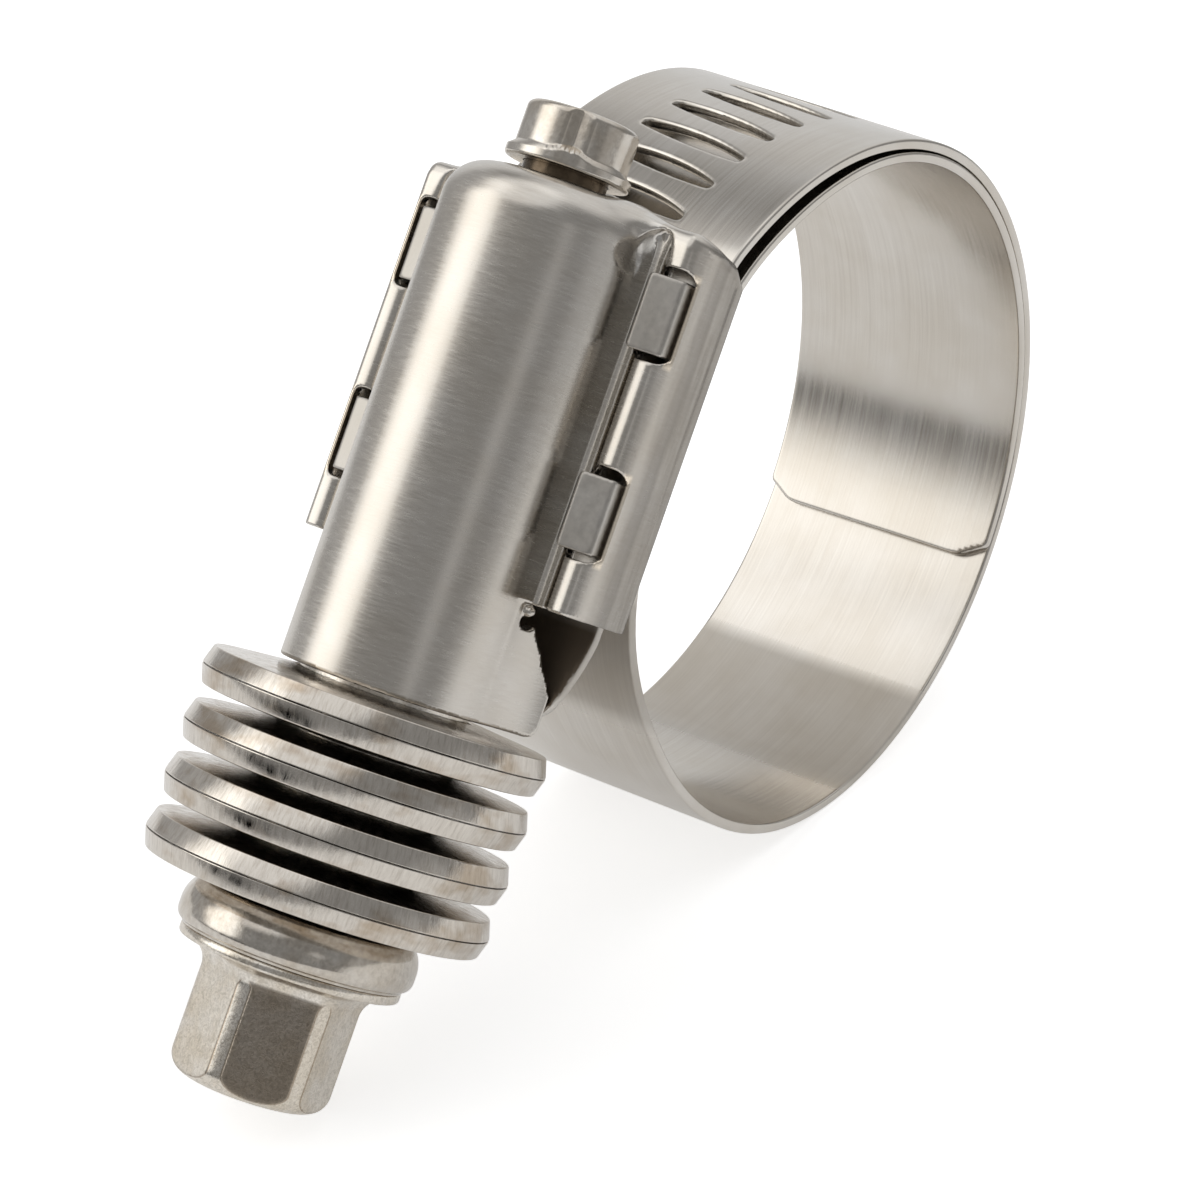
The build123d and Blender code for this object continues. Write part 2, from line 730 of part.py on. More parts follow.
def main():
    os.makedirs("parts", exist_ok=True)
    lean = rest_lean()
    print("lean from upright, degrees", round(lean, 3))
    pieces = {
        "band": band(),
        "housing": housing(),
        "saddle": saddle(),
        "thrust_collar": thrust_collar(),
        "screw": screw(),
        "end_ferrule": end_ferrule(),
    }
    for pair in range(WASHER_PAIRS):
        plane = contact_plane(pair)
        pieces["washer_%d" % (2 * pair + 1)] = washer(plane, 1)
        pieces["washer_%d" % (2 * pair + 2)] = washer(plane, -1)
    for name, shape in pieces.items():
        placed = Rot(0, lean - 90, 0) * shape
        export_step(placed, "parts/%s.step" % name)
        box = placed.bounding_box()
        print(name, len(shape.solids()), round(shape.volume, 2), [round(v, 2) for v in (*box.min, *box.max)])


main()
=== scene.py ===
import functools
import itertools
import json
import math

import bmesh
import bpy
import numpy as np
from mathutils import Matrix, Vector


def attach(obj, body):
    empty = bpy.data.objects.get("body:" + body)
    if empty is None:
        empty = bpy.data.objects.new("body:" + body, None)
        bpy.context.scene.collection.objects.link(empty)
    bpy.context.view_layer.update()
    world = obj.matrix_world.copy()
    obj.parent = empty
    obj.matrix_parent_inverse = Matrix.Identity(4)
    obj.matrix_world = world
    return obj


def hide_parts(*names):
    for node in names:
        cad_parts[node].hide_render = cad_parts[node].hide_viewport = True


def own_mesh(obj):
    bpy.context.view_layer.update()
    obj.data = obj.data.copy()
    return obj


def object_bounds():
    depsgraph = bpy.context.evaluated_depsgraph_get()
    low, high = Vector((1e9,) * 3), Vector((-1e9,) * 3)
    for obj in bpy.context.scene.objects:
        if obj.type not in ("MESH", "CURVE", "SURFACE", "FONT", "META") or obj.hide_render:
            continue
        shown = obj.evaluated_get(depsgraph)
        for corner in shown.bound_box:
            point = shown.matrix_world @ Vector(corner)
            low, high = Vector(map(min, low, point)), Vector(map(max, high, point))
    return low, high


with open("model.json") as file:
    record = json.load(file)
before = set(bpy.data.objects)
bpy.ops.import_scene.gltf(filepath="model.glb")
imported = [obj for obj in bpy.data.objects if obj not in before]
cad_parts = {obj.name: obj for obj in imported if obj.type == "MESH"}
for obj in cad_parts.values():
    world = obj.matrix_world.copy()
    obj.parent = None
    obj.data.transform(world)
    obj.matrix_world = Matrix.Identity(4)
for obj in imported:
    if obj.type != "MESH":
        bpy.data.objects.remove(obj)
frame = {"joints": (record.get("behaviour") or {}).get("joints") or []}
cad_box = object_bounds()

# Sizes of the clamp in mm, as in the part's source. Only FLANGE_TOP is the photograph's,
# 0.32 mm lower than in the solids.
# x runs along the screw towards the ferrule, y along the loop's axis with the near side
# negative, and z outward from the loop's centre. Over the screw's own axis z is called h.
MM = 0.001
BAND_W = 15.9
BAND_T = 0.6
R_MID = 20.1
TOP_MID = 20.5
AXIS_C = 25.75
LINER_DROP = 0.65
BARREL_R = 5.75
BARREL_LOW = -18.2
BARREL_TOP = 9.3
SHEET = 0.7
WING_HALF = 9.22
WING_LOW = -11.55
LEDGE_FOOT = -5.15
SKIRT_H = -4.6
WINDOW_MID = (4.4, -6.25)
STACK_TOP = -18.44
WASHER_STEP = 1.475
SPRING_R = 9.37
COLLAR_TOP = -30.24
FLANGE_TOP = -32.82
FLANGE_LOW = -33.4
FLANGE_R = 6.0
HEX_LOW = -40.25
HEX_HALF = 3.97
HEX_FIRST_DEG = 70
SHANK_R = 4.6
NECK_R = 2.3
CAP_LOW = 9.95
CAP_TOP = 13.1
CREASE_DEG = -31

# The local frame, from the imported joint's own axis
axis = next(j["axis"] for j in frame["joints"] if j["name"] == "screw_travel")
AXIS_U = Vector(axis).normalized()
AXIS_B = Vector((0, 1, 0))
AXIS_W = AXIS_U.cross(AXIS_B)
if AXIS_W.x > 0:
    AXIS_W = -AXIS_W
LOOP_PLACE = Matrix((AXIS_U, AXIS_B, AXIS_W)).transposed().to_4x4()
SCREW_PLACE = Matrix.Translation(AXIS_W * AXIS_C * MM) @ LOOP_PLACE


# ---------------------------------------------------------------- camera

# Solved from the photograph, in the local frame
CAM_PLACE = Vector((-9.158, -101.949, 175.073)) * MM
CAM_FORWARD = Vector((-0.005769, 0.522279, -0.852755))
CAM_UP = Vector((0.943712, 0.284873, 0.168090))
CAM_LENS = 104.796
CAM_SENSOR = 36
CAM_RANGE = (0.01, 10)


def photo_camera():
    cam = bpy.data.objects.new("photo_camera", bpy.data.cameras.new("photo_camera"))
    bpy.context.scene.collection.objects.link(cam)
    right = CAM_FORWARD.cross(CAM_UP)
    turn = Matrix((right, CAM_UP, -CAM_FORWARD)).transposed().to_4x4()
    cam.matrix_world = LOOP_PLACE @ Matrix.Translation(CAM_PLACE) @ turn
    cam.data.lens = CAM_LENS
    cam.data.sensor_width = CAM_SENSOR
    cam.data.sensor_fit = "HORIZONTAL"
    cam.data.clip_start, cam.data.clip_end = CAM_RANGE
    bpy.context.scene.camera = cam


photo_camera()


# ---------------------------------------------------------------- fields

# A field gives a point's rough distance to a surface, negative inside the metal


def smin(a, b, k):
    # either of two shapes, with the corner between them filled over k
    h = np.clip(0.5 + 0.5 * (b - a) / k, 0, 1)
    return b + (a - b) * h - k * h * (1 - h)


def smax(a, b, k):
    # the shape inside both, with its edge softened over k
    return -smin(-a, -b, k)


def both(a, b, r):
    # the shape inside both, with its edge rounded to the radius r
    p = a + r
    q = b + r
    return np.minimum(np.maximum(p, q), 0) + np.hypot(np.maximum(p, 0), np.maximum(q, 0)) - r


def box2(a, b, half_a, half_b, r):
    # a rectangle with round corners
    return both(np.abs(a) - half_a, np.abs(b) - half_b, r)


def ease(t):
    t = np.clip(t, 0, 1)
    return t * t * (3 - 2 * t)


def bump(t, width):
    return np.exp(-((t / width) ** 2))


def graded(*parts):
    # grid places, each part from, to and with its own step
    runs = [
        np.linspace(start, end, max(1, round((end - start) / step)), endpoint=False)
        for start, end, step in parts
    ]
    return np.concatenate(runs)


def mirrored(*parts):
    # the same on both sides of zero
    side = graded(*parts)[1:]
    return np.concatenate([-side[::-1], [0.0], side])


# ---------------------------------------------------------------- meshes

CORNERS = list(itertools.product((0, 1), repeat=3))
CELL_EDGES = [
    (p, q)
    for p, q in itertools.combinations(CORNERS, 2)
    if sum(abs(m - n) for m, n in zip(p, q)) == 1
]
PROBE = 0.004
LEAST_SLOPE = 0.05


def settle(field, point, limit, rounds=4):
    # moves the points on to the surface of the field, along its slope
    for _ in range(rounds):
        d = field(*point.T)
        slope = [field(*(point + PROBE * e).T) - d for e in np.eye(3)]
        g = np.stack(slope, 1) / PROBE
        size = np.maximum((g * g).sum(1), LEAST_SLOPE)
        move = -(d / size)[:, None] * g
        point = point + np.clip(move, -limit, limit)
    return point


def net_faces(solid, index):
    # a quad between the four cells round each grid edge that the surface crosses
    faces = []
    for along in range(3):
        second, third = (along + 1) % 3, (along + 2) % 3
        low = [slice(None)] * 3
        high = [slice(None)] * 3
        low[along], high[along] = slice(None, -1), slice(1, None)
        for n in (second, third):
            low[n] = high[n] = slice(1, -1)
        a, b = solid[tuple(low)], solid[tuple(high)]
        at = np.nonzero(a != b)
        outward = a[at]
        base = [n.copy() for n in at]
        base[second] += 1
        base[third] += 1
        ring = []
        for ds, dt in ((-1, -1), (0, -1), (0, 0), (-1, 0)):
            n = [m.copy() for m in base]
            n[second] += ds
            n[third] += dt
            ring.append(index[tuple(n)])
        quad = np.stack(ring, 1)
        quad[~outward] = quad[~outward][:, ::-1]
        faces.append(quad)
    return np.concatenate(faces)


def nets(field, xs, ys, zs, limit=0.1):
    """The mesh of the surface where the field is zero, a point in each cell it crosses."""
    v = field(*np.meshgrid(xs, ys, zs, indexing="ij"))
    nx, ny, nz = v.shape
    solid = v < 0
    total = sum(
        solid[i : nx - 1 + i, j : ny - 1 + j, k : nz - 1 + k].astype(np.int8)
        for i, j, k in CORNERS
    )
    cell = (total > 0) & (total < len(CORNERS))
    index = np.full(cell.shape, -1)
    index[cell] = np.arange(cell.sum())
    place = np.nonzero(cell)
    point = np.zeros((len(place[0]), 3))
    count = np.zeros(len(place[0]))
    for p, q in CELL_EDGES:
        ip = [n + o for n, o in zip(place, p)]
        iq = [n + o for n, o in zip(place, q)]
        vp = v[tuple(ip)]
        vq = v[tuple(iq)]
        cross = (vp < 0) != (vq < 0)
        t = np.where(cross, vp / np.where(cross, vp - vq, 1), 0)[:, None]
        pp = np.stack([c[n] for c, n in zip((xs, ys, zs), ip)], 1)
        pq = np.stack([c[n] for c, n in zip((xs, ys, zs), iq)], 1)
        point += np.where(cross[:, None], pp + (pq - pp) * t, 0)
        count += cross
    point = settle(field, point / count[:, None], limit)
    return point, net_faces(solid, index)


def add_mesh(name, points, faces, place):
    turned = np.array(place)
    points = np.asarray(points, float) * MM @ turned[:3, :3].T + turned[:3, 3]
    mesh = bpy.data.meshes.new(name)
    mesh.from_pydata(points.tolist(), [], [tuple(f) for f in faces])
    mesh.validate()
    mesh.shade_smooth()
    obj = bpy.data.objects.new(name, mesh)
    bpy.context.scene.collection.objects.link(obj)
    return obj


def dress(obj, material, body, slot, *nodes):
    obj.data.materials.append(material)
    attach(obj, body)
    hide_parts(*nodes)
    return obj


def turn_out(obj, smooth_angle):
    # faces point outward, and edges above the angle in degrees are sharp
    work = bmesh.new()
    work.from_mesh(obj.data)
    bmesh.ops.recalc_face_normals(work, faces=work.faces)
    work.to_mesh(obj.data)
    work.free()
    obj.data.set_sharp_from_angle(angle=math.radians(smooth_angle))


# The most of a side that one rounded corner takes
CORNER_SHARE = 0.48


def rounded_line(points, steps=4):
    # a closed outline with its corners rounded; points are (x, r, corner radius)
    out = []
    for i, (x, y, radius) in enumerate(points):
        p = np.array((x, y))
        before = np.array(points[i - 1][:2]) - p
        after = np.array(points[(i + 1) % len(points)][:2]) - p
        before_len, after_len = np.linalg.norm(before), np.linalg.norm(after)
        before, after = before / before_len, after / after_len
        half_turn = math.acos(float(np.clip(before @ after, -1, 1))) / 2
        cut = min(radius / math.tan(half_turn), CORNER_SHARE * min(before_len, after_len))
        for k in range(steps + 1):
            t = k / steps
            out.append(p + before * cut * (1 - t) ** 2 + after * cut * t**2)
    return np.array(out)


def polar(x, r, turn):
    # points round the screw's axis
    return np.stack([x, r * np.sin(turn), r * np.cos(turn)], axis=-1)


def lathe(name, outline, place, segments=160, smooth_angle=40):
    # a turned piece from its closed outline, which stays off the axis
    turns = np.arange(segments) * 2 * math.pi / segments
    rings = np.stack([polar(np.full(segments, x), r, turns) for x, r in outline])
    index = np.arange(rings[..., 0].size).reshape(rings.shape[:2])
    a, b = index, np.roll(index, -1, axis=0)
    faces = np.stack([a, np.roll(a, -1, axis=1), np.roll(b, -1, axis=1), b], axis=-1)
    obj = add_mesh(name, rings.reshape(-1, 3), faces.reshape(-1, 4), place)
    turn_out(obj, smooth_angle)
    return obj


# ---------------------------------------------------------------- materials

WHITE = (1.0, 1.0, 1.0)


class Nodes:
    """A short way to write the nodes of a material or of the world."""

    def __init__(self, owner):
        owner.use_nodes = True
        self.owner = owner
        self.tree = owner.node_tree
        self.tree.nodes.clear()

    def add(self, kind, inputs=(), **settings):
        node = self.tree.nodes.new(kind)
        for key, value in settings.items():
            setattr(node, key, value)
        for key, value in dict(inputs).items():
            if isinstance(value, bpy.types.NodeSocket):
                self.tree.links.new(value, node.inputs[key])
            else:
                node.inputs[key].default_value = value
        return node

    def math(self, kind, a, b=0.0, clamp=False):
        node = self.add("ShaderNodeMath", {0: a, 1: b}, operation=kind)
        node.use_clamp = clamp
        return node.outputs[0]

    def times(self, *values):
        return functools.reduce(lambda a, b: self.math("MULTIPLY", a, b), values)

    def plus(self, a, b):
        return self.math("ADD", a, b)

    def minus(self, a, b):
        return self.math("SUBTRACT", a, b)

    def largest(self, *values):
        return functools.reduce(lambda a, b: self.math("MAXIMUM", a, b), values)

    def size(self, value):
        return self.math("ABSOLUTE", value)

    def radius(self, y, z):
        return self.math("SQRT", self.plus(self.times(y, y), self.times(z, z)))

    def noise(self, vector, scale, detail=3.0, roughness=0.5, distortion=0.0):
        inputs = {
            "Vector": vector,
            "Scale": scale,
            "Detail": detail,
            "Roughness": roughness,
            "Distortion": distortion,
        }
        return self.add("ShaderNodeTexNoise", inputs).outputs["Fac"]

    def scaled(self, vector, scale):
        return self.add(
            "ShaderNodeVectorMath", {0: vector, 1: scale}, operation="MULTIPLY"
        ).outputs[0]

    def ramp(self, value, stops):
        node = self.add("ShaderNodeValToRGB", {"Fac": value})
        points = node.color_ramp.elements
        while len(points) < len(stops):
            points.new(0.5)
        for point, (place, colour) in zip(points, stops):
            point.position = place
            point.color = (*colour, 1)
        return node.outputs["Color"]

    def span(self, value, low, high, to_low=0.0, to_high=1.0):
        # the value's place between low and high, from to_low to to_high
        inputs = {
            "Value": value,
            "From Min": low,
            "From Max": high,
            "To Min": to_low,
            "To Max": to_high,
        }
        return self.add("ShaderNodeMapRange", inputs).outputs["Result"]

    def object_mm(self):
        # coordinates along and round the screw, in mm
        inputs = {
            "Vector": self.add("ShaderNodeTexCoord").outputs["Object"],
            "Location": SCREW_PLACE.translation,
            "Rotation": SCREW_PLACE.to_euler(),
        }
        local = self.add("ShaderNodeMapping", inputs, vector_type="TEXTURE").outputs[0]
        return self.scaled(local, (1 / MM,) * 3)

    def around(self, axis):
        # the direction round an axis, for the brushing
        inputs = {0: axis, 1: self.add("ShaderNodeNewGeometry").outputs["Normal"]}
        return self.add("ShaderNodeVectorMath", inputs, operation="CROSS_PRODUCT").outputs[0]

    def tinted(self, colour, stain, share=1.0):
        # a colour mix has its share at input 0 and its colours at 6 and 7
        inputs = {0: share, 6: colour, 7: stain}
        return self.add(
            "ShaderNodeMix", inputs, data_type="RGBA", blend_type="MULTIPLY"
        ).outputs[2]

    def marked(self, colour, mask, tint):
        # tinted where the mask is 1
        return self.tinted(colour, self.ramp(mask, [(0.0, WHITE), (1.0, tint)]))

    def split(self, vector):
        return self.add("ShaderNodeSeparateXYZ", {0: vector}).outputs[:3]

    def join(self, x, y, z):
        return self.add("ShaderNodeCombineXYZ", {0: x, 1: y, 2: z}).outputs[0]

    def metal(self, colour, roughness, height, strength, distance, **brushing):
        relief = {"Height": height, "Strength": strength, "Distance": distance}
        inputs = {
            "Base Color": colour,
            "Metallic": 1.0,
            "Roughness": roughness,
            "Normal": self.add("ShaderNodeBump", relief).outputs[0],
            **brushing,
        }
        shader = self.add("ShaderNodeBsdfPrincipled", inputs)
        self.add("ShaderNodeOutputMaterial", {"Surface": shader.outputs[0]})
        return self.owner


def new_material(name):
    n = Nodes(bpy.data.materials.new(name))
    return n, n.object_mm()


# painted shade, painted light and painted highlights on the ledges
def ledge_painted_shade_and_light(n, place, colour, roughness):
    # painted shade on the ledges' outer walls: darkest a little below the middle, in streaks
    # along them, standing in for the shadowed floor that they reflect
    x, y, z = n.split(place)
    across = n.size(y)
    shade_streak = n.noise(n.scaled(place, (0.22, 1.6, 2.4)), 1.0, 4.0, 0.6, 0.4)
    level = n.plus(n.span(z, -3.6, -0.9), n.times(shade_streak, 0.35))
    shade = n.ramp(
        level,
        [
            (0.10, (0.66, 0.655, 0.65)),
            (0.30, (0.40, 0.39, 0.38)),
            (0.62, (0.52, 0.51, 0.50)),
            (1.0, (0.86, 0.85, 0.84)),
        ],
    )
    colour = n.tinted(colour, shade, n.span(across, 8.72, 9.3))
    # the groove beside the barrel is painted lighter, painted light over the shade that
    # falls in it
    groove_painted_light = n.times(
        n.span(across, 5.3, 5.6),
        n.span(across, 6.5, 6.42),
        n.span(z, 0.6, -0.2),
        n.span(x, WING_LOW - 0.1, WING_LOW + 0.5),
    )
    colour = n.marked(colour, groove_painted_light, (1.10, 1.13, 1.17))
    # the windows' outer rims get a painted highlight, the far ones further in
    middle = sum(WINDOW_MID) / 2
    apart = (WINDOW_MID[0] - WINDOW_MID[1]) / 2
    from_window = n.size(n.minus(n.size(n.minus(x, middle)), apart))
    outer = (WINDOW_OUT_NEAR + WINDOW_OUT_FAR) / 2
    further_in = n.times(n.math("SIGN", y), (WINDOW_OUT_NEAR - WINDOW_OUT_FAR) / 2)
    rim_y = n.plus(across, further_in)
    rim = n.times(
        n.span(rim_y, outer - 0.075, outer - 0.035),
        n.span(rim_y, outer + 0.155, outer + 0.105),
        n.span(from_window, WINDOW_HALF + 0.14, WINDOW_HALF - 0.06),
    )
    return n.marked(colour, rim, (1.62, 1.54, 1.42)), roughness


def tail_painted_shade_and_dulling(n, place, colour, roughness):
    # the outer end's upper face is painted dark brown, painted shade for the dark that it
    # reflects under the housing, and it is duller inside the open end
    x, _, z = n.split(place)
    face_h = TOP_MID + BAND_T / 2 - AXIS_C
    painted_dark_face = n.times(n.span(x, -11.2, -12.0), n.span(z, face_h - 0.035, face_h - 0.01))
    inside = n.times(n.span(x, -9.0, -10.0), n.span(x, -16.5, -15.5))
    roughness = n.plus(roughness, n.times(inside, 0.42))
    return n.marked(colour, painted_dark_face, (0.36, 0.31, 0.26)), roughness


# Each pair is a darker and a lighter tone
SHEET_TONES = ((0.59, 0.555, 0.51), (0.67, 0.64, 0.595))
TAB_TONES = ((0.47, 0.45, 0.42), (0.56, 0.535, 0.50))
COLLAR_TONES = ((0.50, 0.465, 0.42), (0.70, 0.67, 0.62))
FERRULE_TONES = ((0.58, 0.545, 0.50), (0.70, 0.67, 0.62))
# How deep the surface's relief is, in metres
LINE_DEPTH = 0.00003
NICK_DEPTH = 0.00005
SPECK_DEPTH = 0.00007
DENT_DEPTH = 0.00008


def brushed(name, line_scales, tones, rough, strength, aniso, axis, marks=None):
    """Brushed steel. The scales give the fine and the long lines, slow along the brushing,
    and marks adds what only that piece shows, on the housing and the band painted shade,
    painted light and painted highlights."""
    n, place = new_material(name)
    fine_scale, long_scale = line_scales
    fine = n.noise(n.scaled(place, fine_scale), 1.0, 4.0, 0.65)
    long_lines = n.noise(n.scaled(place, long_scale), 1.0, 3.0, 0.6)
    cloud = n.noise(place, 0.22, 3.0, 0.55)
    grain = n.noise(place, 9.0, 2.0, 0.6)
    lines = n.plus(n.times(fine, 0.88), n.times(long_lines, 0.12))
    colour = n.ramp(lines, [(0.32, tones[0]), (0.68, tones[1])])
    stain = n.ramp(cloud, [(0.35, (0.93, 0.915, 0.89)), (0.65, WHITE)])
    colour = n.tinted(colour, stain)
    roughness = n.span(lines, 0.3, 0.7, *rough)
    if marks:
        colour, roughness = marks(n, place, colour, roughness)
    height = n.plus(lines, n.times(grain, 0.25))
    brushing = {"Anisotropic": aniso, "Tangent": n.around(axis)}
    return n.metal(colour, roughness, height, strength, LINE_DEPTH, **brushing)


def rim_steel():
    """Disc springs: fine marks across the rims, turning marks on the faces, tan stains."""
    n, place = new_material("spring_rims")
    x, y, z = n.split(place)
    turn = n.math("ARCTAN2", y, z)
    radius = n.radius(y, z)
    ring = n.join(n.times(turn, SPRING_R), n.times(x, 0.35), radius)
    marks = n.noise(n.scaled(ring, (6.5, 3.2, 0.8)), 1.0, 4.0, 0.7)
    nicks = n.noise(n.scaled(ring, (2.2, 1.6, 1.6)), 1.0, 3.0, 0.6, 0.6)
    cloud = n.noise(n.scaled(ring, (0.28, 1.2, 0.8)), 1.0, 3.0, 0.6)
    tones = [
        (0.34, (0.53, 0.495, 0.45)),
        (0.48, (0.62, 0.585, 0.54)),
        (0.7, (0.68, 0.65, 0.605)),
    ]
    stain = n.ramp(cloud, [(0.34, (0.74, 0.66, 0.57)), (0.50, (1.0, 0.985, 0.965))])
    colour = n.tinted(n.ramp(marks, tones), stain)
    height = n.plus(n.times(marks, 0.35), n.times(nicks, 0.9))
    roughness = n.span(nicks, 0.35, 0.65, 0.12, 0.26)
    return n.metal(colour, roughness, height, 0.20, NICK_DEPTH)


def cast_steel(name, tones, rough, strength, scale):
    """Pressed or forged steel: fine specks, soft dents and blotches."""
    n, place = new_material(name)
    grain = n.noise(place, 6.0 * scale, 4.0, 0.7)
    dents = n.noise(place, 1.1 * scale, 3.0, 0.5)
    blotch = n.noise(place, 0.45, 3.0, 0.6, 0.3)
    colour = n.ramp(grain, [(0.3, tones[0]), (0.72, tones[1])])
    stain = n.ramp(blotch, [(0.4, (0.88, 0.84, 0.79)), (0.62, (1.0, 0.99, 0.98))])
    height = n.plus(n.times(grain, 0.35), n.times(dents, 0.8))
    roughness = n.span(grain, 0.3, 0.7, *rough)
    return n.metal(n.tinted(colour, stain), roughness, height, strength, DENT_DEPTH)


def screw_surface():
    """The screw: matte speckled flats, polished strips between them, one flat painted darker
    and a neck painted nearly black, both painted shade.
    """
    n, place = new_material("screw_forged")
    x, y, z = n.split(place)
    below_root = n.span(x, FLANGE_LOW - 0.75, FLANGE_LOW - 0.95)

    def toward(turn_deg):
        t = math.radians(turn_deg)
        return n.plus(n.times(y, math.cos(t)), n.times(z, math.sin(t)))

    def near_flat(out, start, end):
        # 1 where the point is that close under a flat, and below the root
        return n.times(n.span(out, HEX_HALF - start, HEX_HALF - end), below_root)

    sides = [toward(HEX_FIRST_DEG + 60 * k) for k in range(3)]
    widest = n.largest(*[n.size(side) for side in sides])
    on_flat = near_flat(widest, 0.05, 0.025)
    # one flat is painted darker: painted shade on that side of the hex
    painted_shade_flat = near_flat(sides[1], 0.05, 0.025)
    edge = near_flat(widest, 0.09, 0.06)
    edge_line = n.math("SUBTRACT", edge, on_flat, clamp=True)
    # the neck is painted nearly black, painted shade for the hollow under the ferrule's rim
    neck = n.times(n.span(n.radius(y, z), 2.6, 2.8, 1.0, 0.0), n.span(x, 8.4, 8.8))
    grain = n.noise(place, 4.2, 4.0, 0.62, 1.6)
    dents = n.noise(place, 1.2, 3.0, 0.5)
    blotch = n.noise(place, 0.45, 3.0, 0.6, 0.3)
    colour = n.ramp(grain, [(0.36, (0.58, 0.545, 0.49)), (0.60, (0.80, 0.765, 0.71))])
    stain = n.ramp(blotch, [(0.4, (0.90, 0.86, 0.80)), (0.62, (1.0, 0.99, 0.98))])
    colour = n.tinted(colour, stain)
    colour = n.marked(colour, painted_shade_flat, (0.40, 0.375, 0.35))
    colour = n.marked(colour, edge_line, (0.55, 0.5, 0.45))
    colour = n.marked(colour, neck, (0.16, 0.13, 0.10))
    smooth = n.span(grain, 0.3, 0.7, 0.16, 0.26)
    matte = n.span(grain, 0.3, 0.7, 0.40, 0.52)
    roughness = n.plus(smooth, n.times(n.minus(matte, smooth), on_flat))
    coarse = n.times(grain, n.span(on_flat, 0.0, 1.0, 0.15, 1.6))
    height = n.plus(coarse, n.times(dents, 0.7))
    return n.metal(colour, roughness, height, 0.42, SPECK_DEPTH)


# ---------------------------------------------------------------- band

# How far the outer layer stands off R_MID where it leaves the housing, by degrees
EXIT_FROM = 13.0
EXIT_BEND = (19.5, 1.36)
EXIT_RISE = 1.42
EXIT_RISE_DEG = (26.0, 87.0)
EXIT_TWIST = 0.75
EXIT_TO = 128.0
# The same where it passes under the housing and becomes the liner
UNDER_FROM = -108.0
UNDER_STEP = 9.0
UNDER_OFFSETS = [
    -0.06, -0.14, -0.20, -0.22, -0.20, -0.06, 0.25, 0.53, 0.52,
    0.08, -0.48, -0.66, -0.54, -0.14, -0.15, -0.40, -0.57,
]
# The strip's two ends: the outer one under the housing, and the liner's
TAIL_A = -17.3
TAIL_NARROWS = -12.3
TAIL_CORNER = 1.1
LINER_END_DEG = 181.5
LINER_CORNER = 0.2
# The chamfers of the liner's end: a point that they pass, past the end and inside the
# edge, and the direction they face, along and across the strip
CHAMFER_AT = (0.4, 2.4)
CHAMFER_FACE = (2.7, 1.6)
# Radius of the strip's edges, and its slots
STRIP_EDGE = 0.13
SLOT_PITCH = 2.85
SLOT_LEN = 7.4
SLOT_W = 1.3
SLOT_SHIFT = 0.28
SLOT_SKEW = 9.0
SLOT_COUNT = 14
SLOT_LAST_DEG = 77.2
SLOT_ROUND = 0.3
# Stands for a degree on the straight part, which has none
BEFORE_LOOP = -999.0


def clamped_spline(xs, ys, first, last):
    # a smooth curve through the points, with its slope given at both ends
    xs = np.asarray(xs, float)
    ys = np.asarray(ys, float)
    n = len(xs)
    h = np.diff(xs)
    rise = np.diff(ys) / h
    m = np.zeros((n, n))
    rhs = np.zeros(n)
    m[0, 0] = m[-1, -1] = 1
    rhs[0], rhs[-1] = first, last
    for i in range(1, n - 1):
        m[i, i - 1] = h[i]
        m[i, i] = 2 * (h[i - 1] + h[i])
        m[i, i + 1] = h[i - 1]
        rhs[i] = 3 * (h[i] * rise[i - 1] + h[i - 1] * rise[i])
    slope = np.linalg.solve(m, rhs)

    def value(x):
        i = np.clip(np.searchsorted(xs, x) - 1, 0, n - 2)
        t = (x - xs[i]) / h[i]
        a = (1 + 2 * t) * (1 - t) ** 2 * ys[i] + t * t * (3 - 2 * t) * ys[i + 1]
        b = t * (1 - t) ** 2 * slope[i] - t * t * (1 - t) * slope[i + 1]
        return a + b * h[i]

    return value


def strip_path():
    """Points along the strip's near edge, how far the far edge stands off them, and the
    degree round the loop that each belongs to."""
    t0 = math.radians(EXIT_FROM)
    a = np.arange(TAIL_A, TOP_MID * math.tan(t0), 0.2)
    lead = np.stack([a, np.full(len(a), TOP_MID)], 1)
    first = TOP_MID / math.cos(t0) * math.tan(t0) * math.pi / 180
    start, end = EXIT_RISE_DEG
    bend = clamped_spline(
        [EXIT_FROM, EXIT_BEND[0], start],
        [TOP_MID / math.cos(t0) - R_MID, EXIT_BEND[1], EXIT_RISE],
        first,
        -2 * EXIT_RISE / (end - start),
    )
    under_deg = [UNDER_FROM + UNDER_STEP * i for i in range(len(UNDER_OFFSETS) + 2)]
    under = clamped_spline(under_deg, [0, *UNDER_OFFSETS, -LINER_DROP], 0, 0)
    deg = np.arange(EXIT_FROM, 360 + LINER_END_DEG + 0.01, 0.5)
    left = np.clip((end - deg) / (end - start), 0, None)
    off = np.where(deg < start, bend(np.minimum(deg, start)), EXIT_RISE * left**2)
    low = 360 + UNDER_FROM
    high = 360 + under_deg[-1]
    off = np.where(deg > low, under(np.clip(deg - 360, under_deg[0], under_deg[-1])), off)
    off = np.where(deg > high, -LINER_DROP, off)
    twist = np.sin(np.clip((deg - start) / (EXIT_TO - start), 0, 1) * math.pi) ** 2
    t = np.radians(deg)
    out = np.stack([np.sin(t), np.cos(t)], 1)
    near = np.concatenate([lead, out * (R_MID + off)[:, None]])
    rise = np.concatenate([np.zeros((len(a), 2)), out * (twist * EXIT_TWIST)[:, None]])
    return near, rise, np.concatenate([np.full(len(a), BEFORE_LOOP), deg])


def lengths_along(points):
    steps = np.linalg.norm(np.diff(points, axis=0), axis=1)
    return np.concatenate([[0], np.cumsum(steps)])


